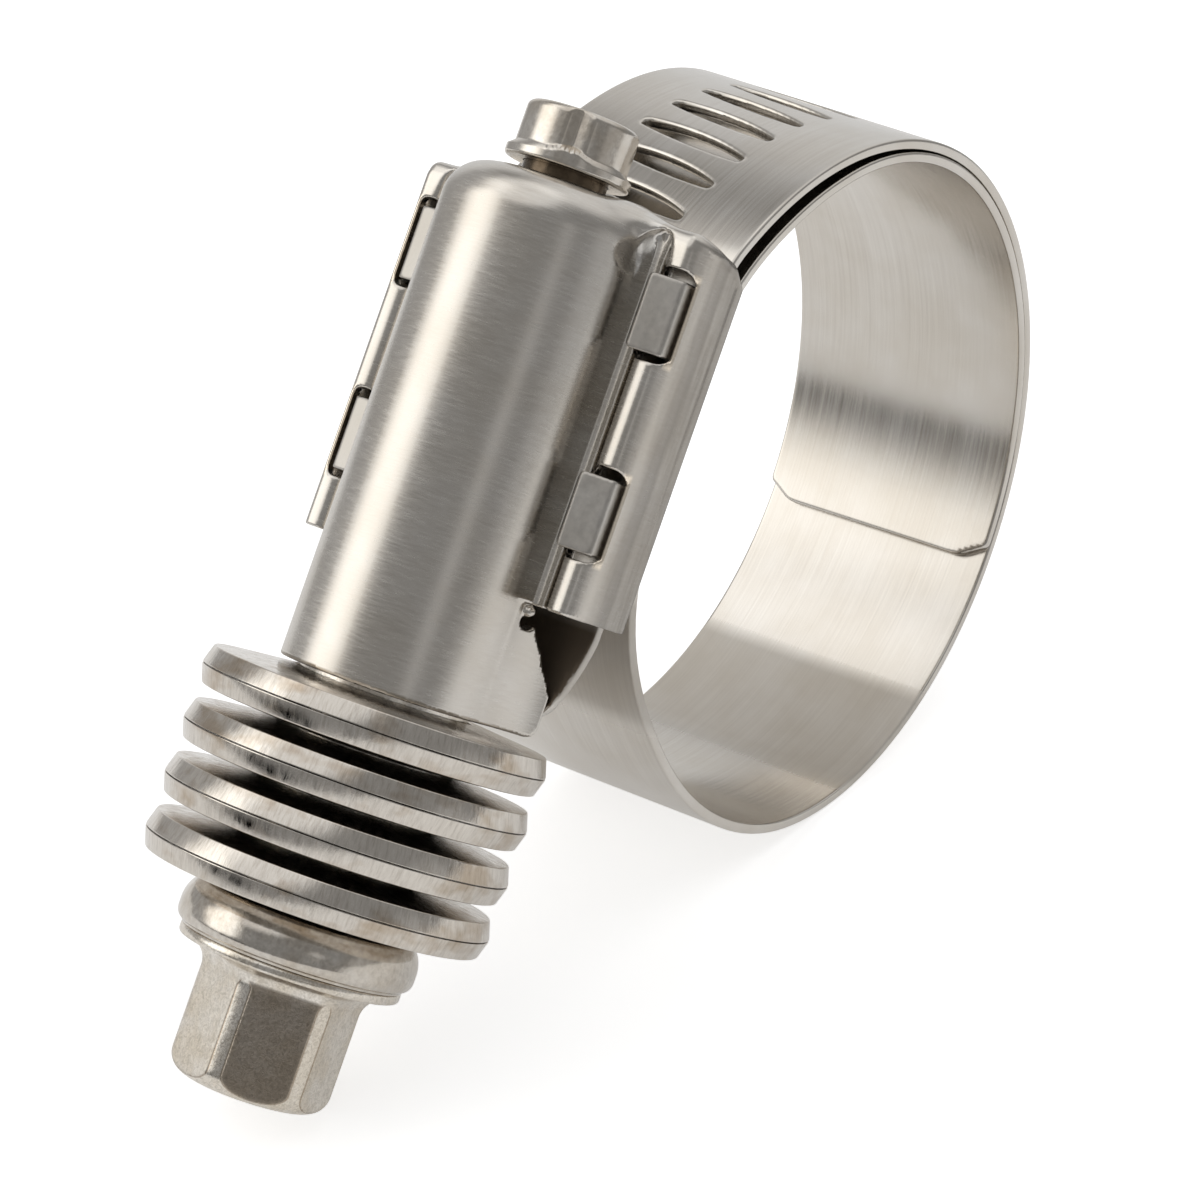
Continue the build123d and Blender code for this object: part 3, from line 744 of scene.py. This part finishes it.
near_line, far_rise, line_deg = strip_path()
mid_s = lengths_along(near_line + far_rise / 2)
strip_end = mid_s[-1]
last_slot = np.interp(SLOT_LAST_DEG, line_deg, mid_s)
slot_places = [last_slot - SLOT_PITCH * i for i in range(SLOT_COUNT)]


def outward(points):
    t = np.gradient(points, mid_s, axis=0)
    t /= np.linalg.norm(t, axis=1)[:, None]
    return np.stack([-t[:, 1], t[:, 0]], 1)


near_out = outward(near_line)
far_out = outward(near_line + far_rise)


def strip_plan(s, y):
    # the strip laid flat: its ends and slots
    half = BAND_W / 2
    d = np.abs(y) - half
    # the outer end narrows in a slight curve and has round corners
    back = np.clip(TAIL_NARROWS - TAIL_A - s, 0, 9)
    d = both(d + 0.12 * back + 0.043 * back**2, -s, TAIL_CORNER)
    d = both(d, s - strip_end, LINER_CORNER)
    face_s, face_y = CHAMFER_FACE
    past_end, inside = CHAMFER_AT
    cut = (s - strip_end - past_end) * face_s + (np.abs(y) - (half - inside)) * face_y
    d = smax(d, cut / math.hypot(face_s, face_y), 0.25)
    skew = math.radians(SLOT_SKEW)
    for place in slot_places:
        u = (y - SLOT_SHIFT) * math.cos(skew) + (s - place) * math.sin(skew)
        v = (s - place) * math.cos(skew) - (y - SLOT_SHIFT) * math.sin(skew)
        # one side of the slot is bowed, the other nearly straight
        side = np.abs(u / (SLOT_LEN / 2))
        upper = v - SLOT_W * (0.52 - 0.42 * side**2.2)
        lower = -SLOT_W * (0.5 - 0.16 * side**2.2) - v
        slot = smax(smax(upper, lower, SLOT_ROUND), np.abs(u) - SLOT_LEN / 2, SLOT_ROUND)
        d = np.maximum(d, -slot)
    return d


def strip_field(s, y, n):
    return both(strip_plan(s, y), np.abs(n) - BAND_T / 2, STRIP_EDGE)


def strip_points(p):
    # bends the flat strip along its path
    s, y, n = p.T
    share = (y / BAND_W + 0.5)[:, None]

    def at(table):
        return np.stack([np.interp(s, mid_s, column) for column in table.T], 1)

    line = at(near_line) + at(far_rise) * share
    out = at(near_out) * (1 - share) + at(far_out) * share
    bent = line + out * n[:, None]
    return np.stack([bent[:, 0], y, bent[:, 1]], 1)


def band():
    fine_from = slot_places[-1] - 1.5
    fine_to = slot_places[0] + 1.6
    s = np.concatenate(
        [
            np.arange(-0.35, fine_from, 0.3),
            np.arange(fine_from, fine_to, 0.17),
            np.arange(fine_to, strip_end - 3.4, 0.9),
            np.arange(strip_end - 3.2, strip_end + 0.5, 0.2),
        ]
    )
    half = BAND_W / 2
    edge = half - 0.5 + np.array([0, 0.14, 0.26, 0.36, 0.44, 0.52, 0.6])
    inner = np.arange(4.6, half - 0.6, 0.35)
    slots = np.arange(-4.4, 4.41, 0.17)
    y = np.concatenate([-edge[::-1], -inner[::-1], slots, inner, edge])
    n = np.array([-0.42, -0.33, -0.25, -0.15, 0.0, 0.15, 0.25, 0.33, 0.42])
    points, faces = nets(strip_field, s, y, n, 0.06)
    obj = add_mesh("band_strip", strip_points(points), faces, LOOP_PLACE)
    return dress(obj, band_steel, "clamp", "band_steel", "band")


# ---------------------------------------------------------------- housing

# The height below which the barrel's sides can spread, and the radius of its top end
SPREAD_FROM = -0.9
TOP_ROUND = 2.2
# The upright strip beside the barrel, and the pressed arch that closes over its end
STRIP_MID = 6.74
STRIP_HALF = 0.36
STRIP_TOP = -0.5
ARCH_FROM = 6.4
ARCH_LENGTH = 2.3
ARCH_TIP = 8.75
POCKET_FLOOR = -1.15
# The ledge's crest, the shoulder's drop and the dip between the crest and the strip
CREST_B = 8.25
CREST_TOP = -0.18
LEDGE_ROUND = 2.8
LEDGE_SHEET = 0.6
VALLEY_DEPTH = 0.85
VALLEY_FROM = 7.05
# The flat border at the ledge's foot: its height, its step and how it blends
BORDER_H = 0.62
BORDER_STEP = 0.07
BORDER_BLEND = 0.13
FLAT_SLOPE = 1e-4
# The ledge's upper end seen from the side, and the skirts' slanted edge
LEDGE_END_H = (-5.2, -4.0, -0.7, 0.6)
LEDGE_END_X = (7.55, 8.4, 9.15, 9.6)
SKIRT_X = (-16.45, -15.7, -13.8, -12.45, -11.9)
SKIRT_EDGE_H = (-4.95, -4.52, -3.36, -2.3, -1.75)
# Centres and sizes of the skirts' relief and of the small knob above it
RELIEF_AT = (-12.48, -1.78)
RELIEF_SIZE = (0.42, 0.66)
KNOB_AT = (-11.95, 5.9, -1.35)
KNOB_R = 0.33
# The windows, from the strip's side to their outer rims
WINDOW_IN = 7.2
WINDOW_OUT_NEAR = 8.97
WINDOW_OUT_FAR = 8.42
WINDOW_HALF = 2.46
WINDOW_CORNER = 0.5
WINDOW_LOW = -1.9


def barrel(x, y, h):
    # the round top with straight sides that spread at the lower end only
    low = np.clip((SPREAD_FROM - h) / (SPREAD_FROM - SKIRT_H), 0, 1)
    skirt = low**2.2 * ease((WING_LOW + 0.35 - x) / 0.8)
    d = np.where(h > 0, np.hypot(y, h), y) - BARREL_R - skirt
    return both(d, x - BARREL_TOP, TOP_ROUND)


def valley(x, y):
    # how far the ledge dips between the upright strip and its crest
    left = np.clip((ARCH_TIP - x) / 2.4, 0, 1)
    crest = 7.2 + 1.0 * np.sqrt(left)
    deep = VALLEY_DEPTH * ease((ARCH_TIP + 0.15 - x) / 0.7)
    return deep * np.clip((crest - y) / (crest - VALLEY_FROM), 0, 1) ** 3


def ledge_end(h):
    # where the ledge ends, seen from the side
    return np.interp(h, LEDGE_END_H, LEDGE_END_X)


def shoulder(x, y, h, inset):
    # the ledge's broad rounded outside, a part of an ellipse above its flat border
    inside = np.minimum(h - LEDGE_FOOT, (ledge_end(h) - x) * 0.9)
    border = BORDER_STEP * ease((inside - BORDER_H) / BORDER_BLEND)
    dip = 0.06 * bump(h + 3.2, 0.7)
    wall = WING_HALF + 0.13 - border - dip
    p = np.maximum(y - CREST_B, 0)
    q = np.maximum(h + LEDGE_ROUND, 0)
    a = wall - CREST_B - inset
    b = LEDGE_ROUND + CREST_TOP - inset
    e = np.hypot(p / a, q / b)
    slope = np.hypot(p / a**2, q / b**2)
    # the slope is zero in the middle, which is well inside
    distance = (e - 1) * e / np.maximum(slope, FLAT_SLOPE)
    return np.where(slope > FLAT_SLOPE, distance, -1.0)


def ledge_body(x, y, h, inset):
    # the filled ledge, one inset inside its outside
    d = shoulder(x, y, h, inset)
    d = both(d, x - BARREL_TOP + inset, 1.3 - inset)
    return both(d, (x - ledge_end(h)) * 0.93 + inset, 0.5 - inset / 2)


def pocket(x, y, h):
    # negative inside what the press left open between the barrel and the crest
    half = STRIP_HALF + 0.12 * ease((x - 6.8) / 1.8)
    across = (y - STRIP_MID) / half
    strip_top = STRIP_TOP - 0.12 * (1 - np.minimum(across**2, 1.0))
    strip = both(np.abs(y - STRIP_MID) - half, h - strip_top, 0.06)
    closing = ease((x - ARCH_FROM) / ARCH_LENGTH)
    rise = 0.55 * np.clip((STRIP_MID - STRIP_HALF - y) / 0.62, 0, 1) ** 2
    foot = rise + POCKET_FLOOR + 0.65 * closing
    floor = np.where(y < STRIP_MID, foot, CREST_TOP - valley(x, y)) - h
    open_up = np.maximum(floor, -strip)
    # the barrel's side is dented beside the arch
    dent = 0.45 * bump(x - 7.6, 1.3) * np.clip(h + 1.0, 0, 1.0)
    side = BARREL_R + 0.7 * closing - dent
    return smax(open_up, both(side - y, x - ARCH_TIP, 0.6), 0.3)


def window(x, y, h, near):
    # negative inside the windows; the far ledge keeps a broader rim
    outer = np.where(near, WINDOW_OUT_NEAR, WINDOW_OUT_FAR)
    middle, half = (outer + WINDOW_IN) / 2, (outer - WINDOW_IN) / 2
    plans = [
        box2(x - mid - 0.05, y - middle, WINDOW_HALF, half, WINDOW_CORNER)
        for mid in WINDOW_MID
    ]
    return np.maximum(np.minimum(*plans), WINDOW_LOW - h)


def skirt_cut(x, h):
    # negative where the skirts' slanted lower edge and its round relief are cut away;
    # the sheared edge isn't quite straight
    edge = np.interp(x, SKIRT_X, SKIRT_EDGE_H)
    wave = 0.03 * np.sin(x * 5.1) + 0.02 * np.sin(x * 11.7 + 1)
    slant = np.maximum((h - edge - wave) * 0.82, x - WING_LOW)
    across, up = (x - RELIEF_AT[0]) / RELIEF_SIZE[0], (h - RELIEF_AT[1]) / RELIEF_SIZE[1]
    return np.minimum(slant, (np.hypot(across, up) - 1) * 0.5)


def housing_field(x, y, h):
    near = y < 0
    y = np.abs(y)
    tube = barrel(x, y, h)
    ledge = np.maximum(ledge_body(x, y, h, 0.0), BARREL_R - 0.6 - y)
    ledge = both(ledge, WING_LOW - x, 0.1)
    # towards the arch the two run into each other
    shell = smin(tube, ledge, 0.05 + 2.3 * ease((x - 6.6) / 2.4))
    shell = smax(shell, -pocket(x, y, h), 0.08)
    # hollow under the ledge
    hollow = ledge_body(x, y, h + valley(x, y), LEDGE_SHEET)
    hollow = np.maximum(hollow, STRIP_MID + STRIP_HALF - 0.06 - y)
    shell = smax(shell, -hollow, 0.08)
    shell = smax(shell, -window(x, y, h, near), 0.14)
    shell = np.maximum(shell, -tube - SHEET)
    # the ends and the lower edges
    foot = np.where((x < WING_LOW) | (y < BARREL_R + 0.3), SKIRT_H, LEDGE_FOOT)
    shell = both(shell, both(BARREL_LOW - x, foot - h, 0.55), 0.1)
    knob_x, knob_y, knob_h = KNOB_AT
    knob = np.sqrt((x - knob_x) ** 2 + (y - knob_y) ** 2 + (h - knob_h) ** 2) - KNOB_R
    shell = smax(smin(shell, knob, 0.16), -skirt_cut(x, h), 0.07)
    # the hole for the screw's neck
    neck = np.maximum(np.hypot(y, h) - (NECK_R + 0.15), 7 - x)
    return smax(shell, -neck, 0.15)


def housing():
    # the grids are fine where the surface turns
    x = graded(
        (BARREL_LOW - 0.31, -17.7, 0.15),
        (-17.7, -16.6, 0.3),
        (-16.6, -11.0, 0.15),
        (-11.0, -9.2, 0.35),
        (-9.2, -8.0, 0.15),
        (-8.0, -4.6, 0.38),
        (-4.6, -3.3, 0.15),
        (-3.3, 1.4, 0.38),
        (1.4, 2.7, 0.15),
        (2.7, 5.9, 0.35),
        (5.9, BARREL_TOP + 0.4, 0.11),
    )
    y = mirrored(
        (0, 4.6, 0.24),
        (4.6, 6.25, 0.13),
        (6.25, 7.25, 0.07),
        (7.25, 8.75, 0.13),
        (8.75, 9.7, 0.1),
    )
    z = graded(
        (-5.5, -4.2, 0.12),
        (-4.2, -1.9, 0.16),
        (-1.9, -1.2, 0.13),
        (-1.2, -0.35, 0.08),
        (-0.35, 1.3, 0.12),
        (1.3, BARREL_R + 0.4, 0.22),
    )
    points, faces = nets(housing_field, x, y, z)
    obj = add_mesh("housing_shell", points, faces, SCREW_PLACE)
    return dress(obj, housing_steel, "clamp", "housing_steel", "housing")


# ---------------------------------------------------------------- saddle

TAB_OUT = 8.52
TAB_TOP = -0.12
TAB_LOW = -3.9
TAB_SHEET = 0.42
TAB_END = 6.98
TAB_HALF = 2.0
TAB_CORNER = 0.42
FOLD_OUT = 0.17
FOLD_IN = 0.05
# The near tabs reach further out and slope more
NEAR_OUT = 0.27
NEAR_DROP = 0.36
NEAR_SLOPE = 0.29
FAR_SLOPE = 0.13
# The wall beside the strip and the plate under it: middle and half size across,
# in height and along, in one pair each
WALL_Y, WALL_H, WALL_X = (8.29, 0.21), (-4.6, 0.95), (-0.95, 7.35)
PLATE_Y, PLATE_H, PLATE_X = (0.0, 8.5), (-5.78, 0.21), (-1.7, 6.3)
SADDLE_EDGE = 0.06


def block(x, y, h, along, across, height):
    d = box2(y - across[0], h - height[0], across[1], height[1], SADDLE_EDGE)
    return both(d, np.abs(x - along[0]) - along[1], SADDLE_EDGE)


def saddle_field(x, y, h):
    near = y < 0
    y = np.abs(y)
    # each tab rises at the outside and lies over the ledge, its end a little higher
    lean = 0.47 * np.clip((h + 2.6) / 1.7, 0, 1)
    tab_out = np.where(near, TAB_OUT + NEAR_OUT, TAB_OUT - lean)
    near_top = TAB_TOP - NEAR_DROP + NEAR_SLOPE * (TAB_OUT + NEAR_OUT - y)
    top = np.where(near, near_top, TAB_TOP + FAR_SLOPE * np.clip(8.2 - y, 0, 2))
    outside = both(y - tab_out, h - top, FOLD_OUT)
    inside = both(y - tab_out + TAB_SHEET, h - top + TAB_SHEET, FOLD_IN)
    strip = np.maximum(np.maximum(outside, -inside), TAB_LOW - h)
    # the tab's end is cut at a slant
    strip = smax(strip, ((h - 0.06) - (y - TAB_END) * 0.9) / 1.345, 0.04)
    tabs = [
        both(strip, box2(x - mid, y - 9.72, TAB_HALF, 3.0, TAB_CORNER), SADDLE_EDGE)
        for mid in WINDOW_MID
    ]
    wall = block(x, y, h, WALL_X, WALL_Y, WALL_H)
    plate = block(x, y, h, PLATE_X, PLATE_Y, PLATE_H)
    return np.minimum(smin(np.minimum(*tabs), wall, 0.1), plate)


def saddle():
    x = graded(
        (-8.65, -8.05, 0.12),
        (-8.05, -4.5, 0.25),
        (-4.5, -3.9, 0.12),
        (-3.9, 2.2, 0.4),
        (2.2, 2.9, 0.12),
        (2.9, 5.9, 0.25),
        (5.9, 6.7, 0.12),
    )
    y = mirrored((0, 6.4, 0.4), (6.4, 8.9, 0.1))
    z = graded((-6.2, -5.4, 0.12), (-5.4, -1.6, 0.25), (-1.6, 0.45, 0.1))
    points, faces = nets(saddle_field, x, y, z, 0.06)
    obj = add_mesh("saddle_tabs", points, faces, SCREW_PLACE)
    return dress(obj, tab_steel, "clamp", "saddle_steel", "saddle")


# ---------------------------------------------------------------- springs, collar

SPRING_PAIRS = 4
SPRING_FACE_R = 9.06
SPRING_BORE_R = 4.85
SPRING_SHEET = 1.0
SPRING_CONE = 0.435
RIM_GAP = 0.02


def springs():
    for pair in range(SPRING_PAIRS):
        contact = STACK_TOP - WASHER_STEP + RIM_GAP - pair * 2 * WASHER_STEP
        for member, way in ((1, 1), (2, -1)):
            number = 2 * pair + member
            base = contact + way * RIM_GAP
            outline = [
                (base, SPRING_R, 0.05),
                (base + way * SPRING_SHEET, SPRING_FACE_R, 0.12),
                (base + way * (SPRING_SHEET + SPRING_CONE), SPRING_BORE_R, 0.08),
                (base + way * SPRING_CONE, SPRING_BORE_R, 0.08),
            ]
            obj = lathe("disc_spring_%d" % number, rounded_line(outline), SCREW_PLACE)
            body = "spring_pair_%d" % (pair + 1)
            dress(obj, spring_steel, body, "spring_steel", "washer_%d" % number)
            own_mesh(obj)


COLLAR_BORE_R = 4.68
# Centre and half sizes of the dome's and the lower edge's arcs, along and out. The
# second one's first half size is negative, because it runs down.
DOME = (COLLAR_TOP - 1.5, 5.35, 1.5, 1.07)
LOWER_EDGE = (COLLAR_TOP - 1.85, FLANGE_R, -0.6, 0.42)


def arc(ellipse, start, step, count):
    # outline points on part of an ellipse, by degrees from its outermost point
    x, r, half_x, half_r = ellipse
    turns = [math.radians(start + step * k) for k in range(count)]
    return [(x + half_x * math.sin(t), r + half_r * math.cos(t)) for t in turns]


def collar():
    outline = [(COLLAR_TOP, COLLAR_BORE_R)]
    outline += arc(DOME, 90, -5, 19)
    outline += arc(LOWER_EDGE, 0, 8, 11)
    outline += [(FLANGE_TOP, FLANGE_R), (FLANGE_TOP, COLLAR_BORE_R)]
    obj = lathe("collar_dome", outline, SCREW_PLACE, 200, 60)
    return dress(obj, collar_steel, "collar", "collar_steel", "thrust_collar")


# ---------------------------------------------------------------- screw

HEX_CORNER_R = 4.31
HEX_END_ROUND = 1.1
ROOT = 1.3
ROOT_FLARE = 1.15
CORNER_FLARE = 1.3
WORM_R = 4.7
WORM_X = (-17, 5.1)
THREAD_DEPTH = 0.6
THREAD_FLAT = 0.35
NECK_X = (4, 12.2)


def head_field(x, y, h):
    # flats cut into a turned body that widens towards the flange
    up = np.clip((x - (FLANGE_LOW - ROOT)) / ROOT, 0, 1)
    flare = ROOT_FLARE * (1 - np.sqrt(np.clip(1 - up**2, 0, 1)))
    turns = [math.radians(HEX_FIRST_DEG + 60 * k) for k in range(6)]
    flats = functools.reduce(np.maximum, [y * math.cos(t) + h * math.sin(t) for t in turns])
    flats = both(flats - HEX_HALF - flare, HEX_LOW - x, 0.35)
    r = np.hypot(y, h)
    corners = r - HEX_CORNER_R - flare * CORNER_FLARE
    body = both(corners, HEX_LOW - x, HEX_END_ROUND)
    head = np.maximum(smax(flats, body, 0.05), x - FLANGE_LOW - 0.3)
    middle, half = (FLANGE_TOP + FLANGE_LOW) / 2, (FLANGE_TOP - FLANGE_LOW) / 2
    flange = both(r - FLANGE_R, np.abs(x - middle) - half, 0.2)
    shank = np.maximum(r - SHANK_R, np.maximum(FLANGE_LOW - x, x - WORM_X[0]))
    # the thread, with the slots' pitch
    phase = (x / SLOT_PITCH - np.arctan2(y, h) / (2 * math.pi)) % 1.0
    from_crest = (0.5 - np.abs(phase - 0.5)) * SLOT_PITCH
    tooth = np.clip(from_crest - THREAD_FLAT, 0, THREAD_DEPTH)
    worm = (r - WORM_R + 0.95 * tooth) * 0.85
    worm = np.maximum(worm, np.maximum(WORM_X[0] - x, x - WORM_X[1]))
    neck = np.maximum(r - NECK_R, np.maximum(NECK_X[0] - x, x - NECK_X[1]))
    return np.minimum(smin(head, flange, 0.12), np.minimum(shank, np.minimum(worm, neck)))


def screw():
    head = np.arange(HEX_LOW - 0.2, FLANGE_TOP + 0.3, 0.14)
    x = np.concatenate([head, np.arange(FLANGE_TOP + 0.4, NECK_X[1] + 0.4, 0.3)])
    y = np.arange(-6.25, 6.3, 0.15)
    points, faces = nets(head_field, x, y, y, 0.08)
    obj = add_mesh("screw_body", points, faces, SCREW_PLACE)
    return dress(obj, screw_steel, "screw", "screw_steel", "screw")


# ---------------------------------------------------------------- ferrule

CAP_R = 3.05
CAP_WALL = 0.85
LID_R = 0.4
RIM_R = 3.4
RIM_MID = 0.38
RIM_HALF = 0.36
CREASE_IN = 2.72
CREASE_SLOPE = 0.42
RIM_LIFT = 0.22
# The ring that the rays start from: its height over the rim's foot, and its radius
RAYS_UP = 2.0
RAYS_R = 1.2
RAY_LENGTH = 4.5
RAY_HALVINGS = 28
TILT_DEG = (-59.8, 90)


def ferrule_field(x, y, h):
    # a cap with a crimped crease on two sides, and a rim that waves up under each
    r = np.hypot(y, h)
    cap = np.maximum(both(r - CAP_R, x - CAP_TOP, 0.4), CAP_LOW + 0.3 - x)
    lift = 0.0
    for turn_deg in (CREASE_DEG, CREASE_DEG + 180):
        t = math.radians(turn_deg)
        depth = y * math.sin(t) + h * math.cos(t)
        side = np.abs(y * math.cos(t) - h * math.sin(t))
        wedge = (CREASE_IN + side * CREASE_SLOPE - depth) / math.hypot(1, CREASE_SLOPE)
        cap = smax(cap, -wedge, 0.12)
        lift = lift + np.where(depth > 0, RIM_LIFT * bump(side - 0.3, 0.6), 0)
    rim = np.abs(x - CAP_LOW - RIM_MID - lift / 2) - RIM_HALF - lift / 2
    return smin(cap, both(r - RIM_R, rim, 0.2), 0.2)


def ferrule():
    # rays from a ring inside the cap find its surface
    turns = np.radians(CREASE_DEG) + np.linspace(0, 2 * np.pi, 240, endpoint=False)
    tilts = np.radians(np.linspace(*TILT_DEG, 130))
    tilt, turn = np.meshgrid(tilts, turns, indexing="ij")
    near, far = np.zeros_like(tilt), np.full_like(tilt, RAY_LENGTH)
    for _ in range(RAY_HALVINGS):
        ray = (near + far) / 2
        up, out = ray * np.sin(tilt), ray * np.cos(tilt)
        found = polar(CAP_LOW + RAYS_UP + up, RAYS_R + out, turn)
        inside = ferrule_field(*np.moveaxis(found, -1, 0)) < 0
        near = np.where(inside, ray, near)
        far = np.where(inside, far, ray)

    def ring(height, radius):
        return polar(np.full_like(turns, height), radius, turns)[None]

    # open below for the screw's neck, and closed by a small lid inside and outside
    bore_top = CAP_TOP - CAP_WALL
    bore = [ring(bore_top, LID_R), ring(bore_top, NECK_R + 0.05)]
    rings = np.concatenate([*bore, found, ring(CAP_TOP, LID_R)])
    count, around = rings.shape[:2]
    index = np.arange(count * around).reshape(count, around)
    a, b = index[:-1], index[1:]
    quads = np.stack([a, b, np.roll(b, -1, axis=1), np.roll(a, -1, axis=1)], axis=-1)
    lids = [index[0].tolist(), index[-1][::-1].tolist()]
    faces = quads.reshape(-1, 4).tolist() + lids
    obj = add_mesh("ferrule_cap", rings.reshape(-1, 3), faces, SCREW_PLACE)
    turn_out(obj, 50)
    return dress(obj, ferrule_steel, "screw", "ferrule_steel", "end_ferrule")


# ---------------------------------------------------------------- finishes and pieces

housing_steel = brushed(
    "housing_brushed",
    ((8.0, 0.9, 0.9), (3.5, 0.25, 0.25)),
    SHEET_TONES,
    rough=(0.19, 0.29),
    strength=0.13,
    aniso=0.5,
    axis=AXIS_U,
    marks=ledge_painted_shade_and_light,
)
band_steel = brushed(
    "band_brushed",
    ((0.10, 7.0, 0.10), (0.04, 1.8, 0.04)),
    SHEET_TONES,
    rough=(0.17, 0.25),
    strength=0.05,
    aniso=0.4,
    axis=AXIS_B,
    marks=tail_painted_shade_and_dulling,
)
tab_steel = brushed(
    "tab_steel",
    ((2.5, 2.5, 2.5), (0.5, 0.5, 0.5)),
    TAB_TONES,
    rough=(0.32, 0.42),
    strength=0.08,
    aniso=0.0,
    axis=AXIS_U,
)
spring_steel = rim_steel()
collar_steel = cast_steel(
    "collar_polished", COLLAR_TONES, rough=(0.12, 0.20), strength=0.20, scale=0.5
)
screw_steel = screw_surface()
ferrule_steel = cast_steel(
    "ferrule_pressed", FERRULE_TONES, rough=(0.14, 0.24), strength=0.10, scale=0.6
)

band()
housing()
saddle()
springs()
collar()
screw()
ferrule()


# ---------------------------------------------------------------- floor and light

FLOOR_HALF = 0.18
FLOOR_GAP = 0.00002
PAPER = (0.75, 0.75, 0.75, 1)
PAPER_GLOW = 0.32
PAPER_GLOW_SEEN = 0.33


def paper():
    # the camera sees the floor a little lighter than the steel does
    n = Nodes(bpy.data.materials.new("floor_paper"))
    seen = n.add("ShaderNodeLightPath").outputs["Is Camera Ray"]
    matte = n.add("ShaderNodeBsdfDiffuse", {"Color": PAPER})
    strength = n.plus(n.times(seen, PAPER_GLOW_SEEN), PAPER_GLOW)
    glow = n.add("ShaderNodeEmission", {"Strength": strength})
    surface = n.add("ShaderNodeAddShader", {0: matte.outputs[0], 1: glow.outputs[0]})
    n.add("ShaderNodeOutputMaterial", {"Surface": surface.outputs[0]})
    return n.owner


def add_floor():
    mesh = bpy.data.meshes.new("floor")
    signs = ((-1, -1), (1, -1), (1, 1), (-1, 1))
    corners = [(x * FLOOR_HALF, y * FLOOR_HALF, 0) for x, y in signs]
    mesh.from_pydata(corners, [], [(0, 1, 2, 3)])
    mesh.materials.append(paper())
    floor = bpy.data.objects.new("floor", mesh)
    bpy.context.scene.collection.objects.link(floor)
    floor.location.z = cad_box[0].z - FLOOR_GAP


# Soft boxes of the studio: azimuth, elevation, radius of the even middle,
# radius where it has faded out, strength and tint
BASE_LIGHT = 0.29
CREAM = (1.0, 0.985, 0.95)
SOFT_BOXES = [
    (-138, 25, 9, 28, 1.60, CREAM),
    (-130, 78, 26, 42, 0.68, WHITE),
    (122, 6, 14, 42, 0.50, (0.98, 0.99, 1.0)),
    (75, 46, 8, 42, 0.55, WHITE),
    (15, -4, 6, 24, 0.20, WHITE),
    (-29, 19, 2, 9, 0.36, WHITE),
    (178, 20, 10, 50, 0.15, WHITE),
    (-162, 54, 6, 22, 0.55, CREAM),
    (-106, -8, 4, 14, -0.28, WHITE),
    (-122, -8, 4, 14, -0.28, WHITE),
]


def sky_direction(azimuth, elevation):
    a, e = math.radians(azimuth), math.radians(elevation)
    return (math.sin(a) * math.cos(e), -math.cos(a) * math.cos(e), math.sin(e))


def soft_box(n, toward, azimuth, elevation, core, edge, strength, tint):
    aim = {0: toward, 1: sky_direction(azimuth, elevation)}
    dot = n.add("ShaderNodeVectorMath", aim, operation="DOT_PRODUCT")
    inputs = {
        "Value": dot.outputs["Value"],
        "From Min": math.cos(math.radians(edge)),
        "From Max": math.cos(math.radians(core)),
        "To Min": 0.0,
        "To Max": strength,
    }
    glow = n.add("ShaderNodeMapRange", inputs, interpolation_type="SMOOTHSTEP")
    lit = {0: tint, 3: glow.outputs[0]}
    return n.add("ShaderNodeVectorMath", lit, operation="SCALE").outputs[0]


def studio():
    world = bpy.data.worlds.new("studio")
    bpy.context.scene.world = world
    n = Nodes(world)
    toward = n.add("ShaderNodeTexCoord").outputs["Generated"]
    parts = [soft_box(n, toward, *box) for box in SOFT_BOXES]
    total = functools.reduce(
        lambda a, b: n.add("ShaderNodeVectorMath", {0: a, 1: b}, operation="ADD").outputs[0],
        [*parts, (BASE_LIGHT,) * 3],
    )
    lit = n.add("ShaderNodeBackground", {"Color": total, "Strength": 1.0})
    seen = n.add("ShaderNodeBackground", {"Color": (1, 1, 1, 1), "Strength": 1.0})
    path = n.add("ShaderNodeLightPath").outputs["Is Camera Ray"]
    mix = n.add("ShaderNodeMixShader", {0: path, 1: lit.outputs[0], 2: seen.outputs[0]})
    n.add("ShaderNodeOutputWorld", {"Surface": mix.outputs[0]})


add_floor()
studio()

scene = bpy.context.scene
scene.view_settings.view_transform = "Standard"
scene.view_settings.look = "None"
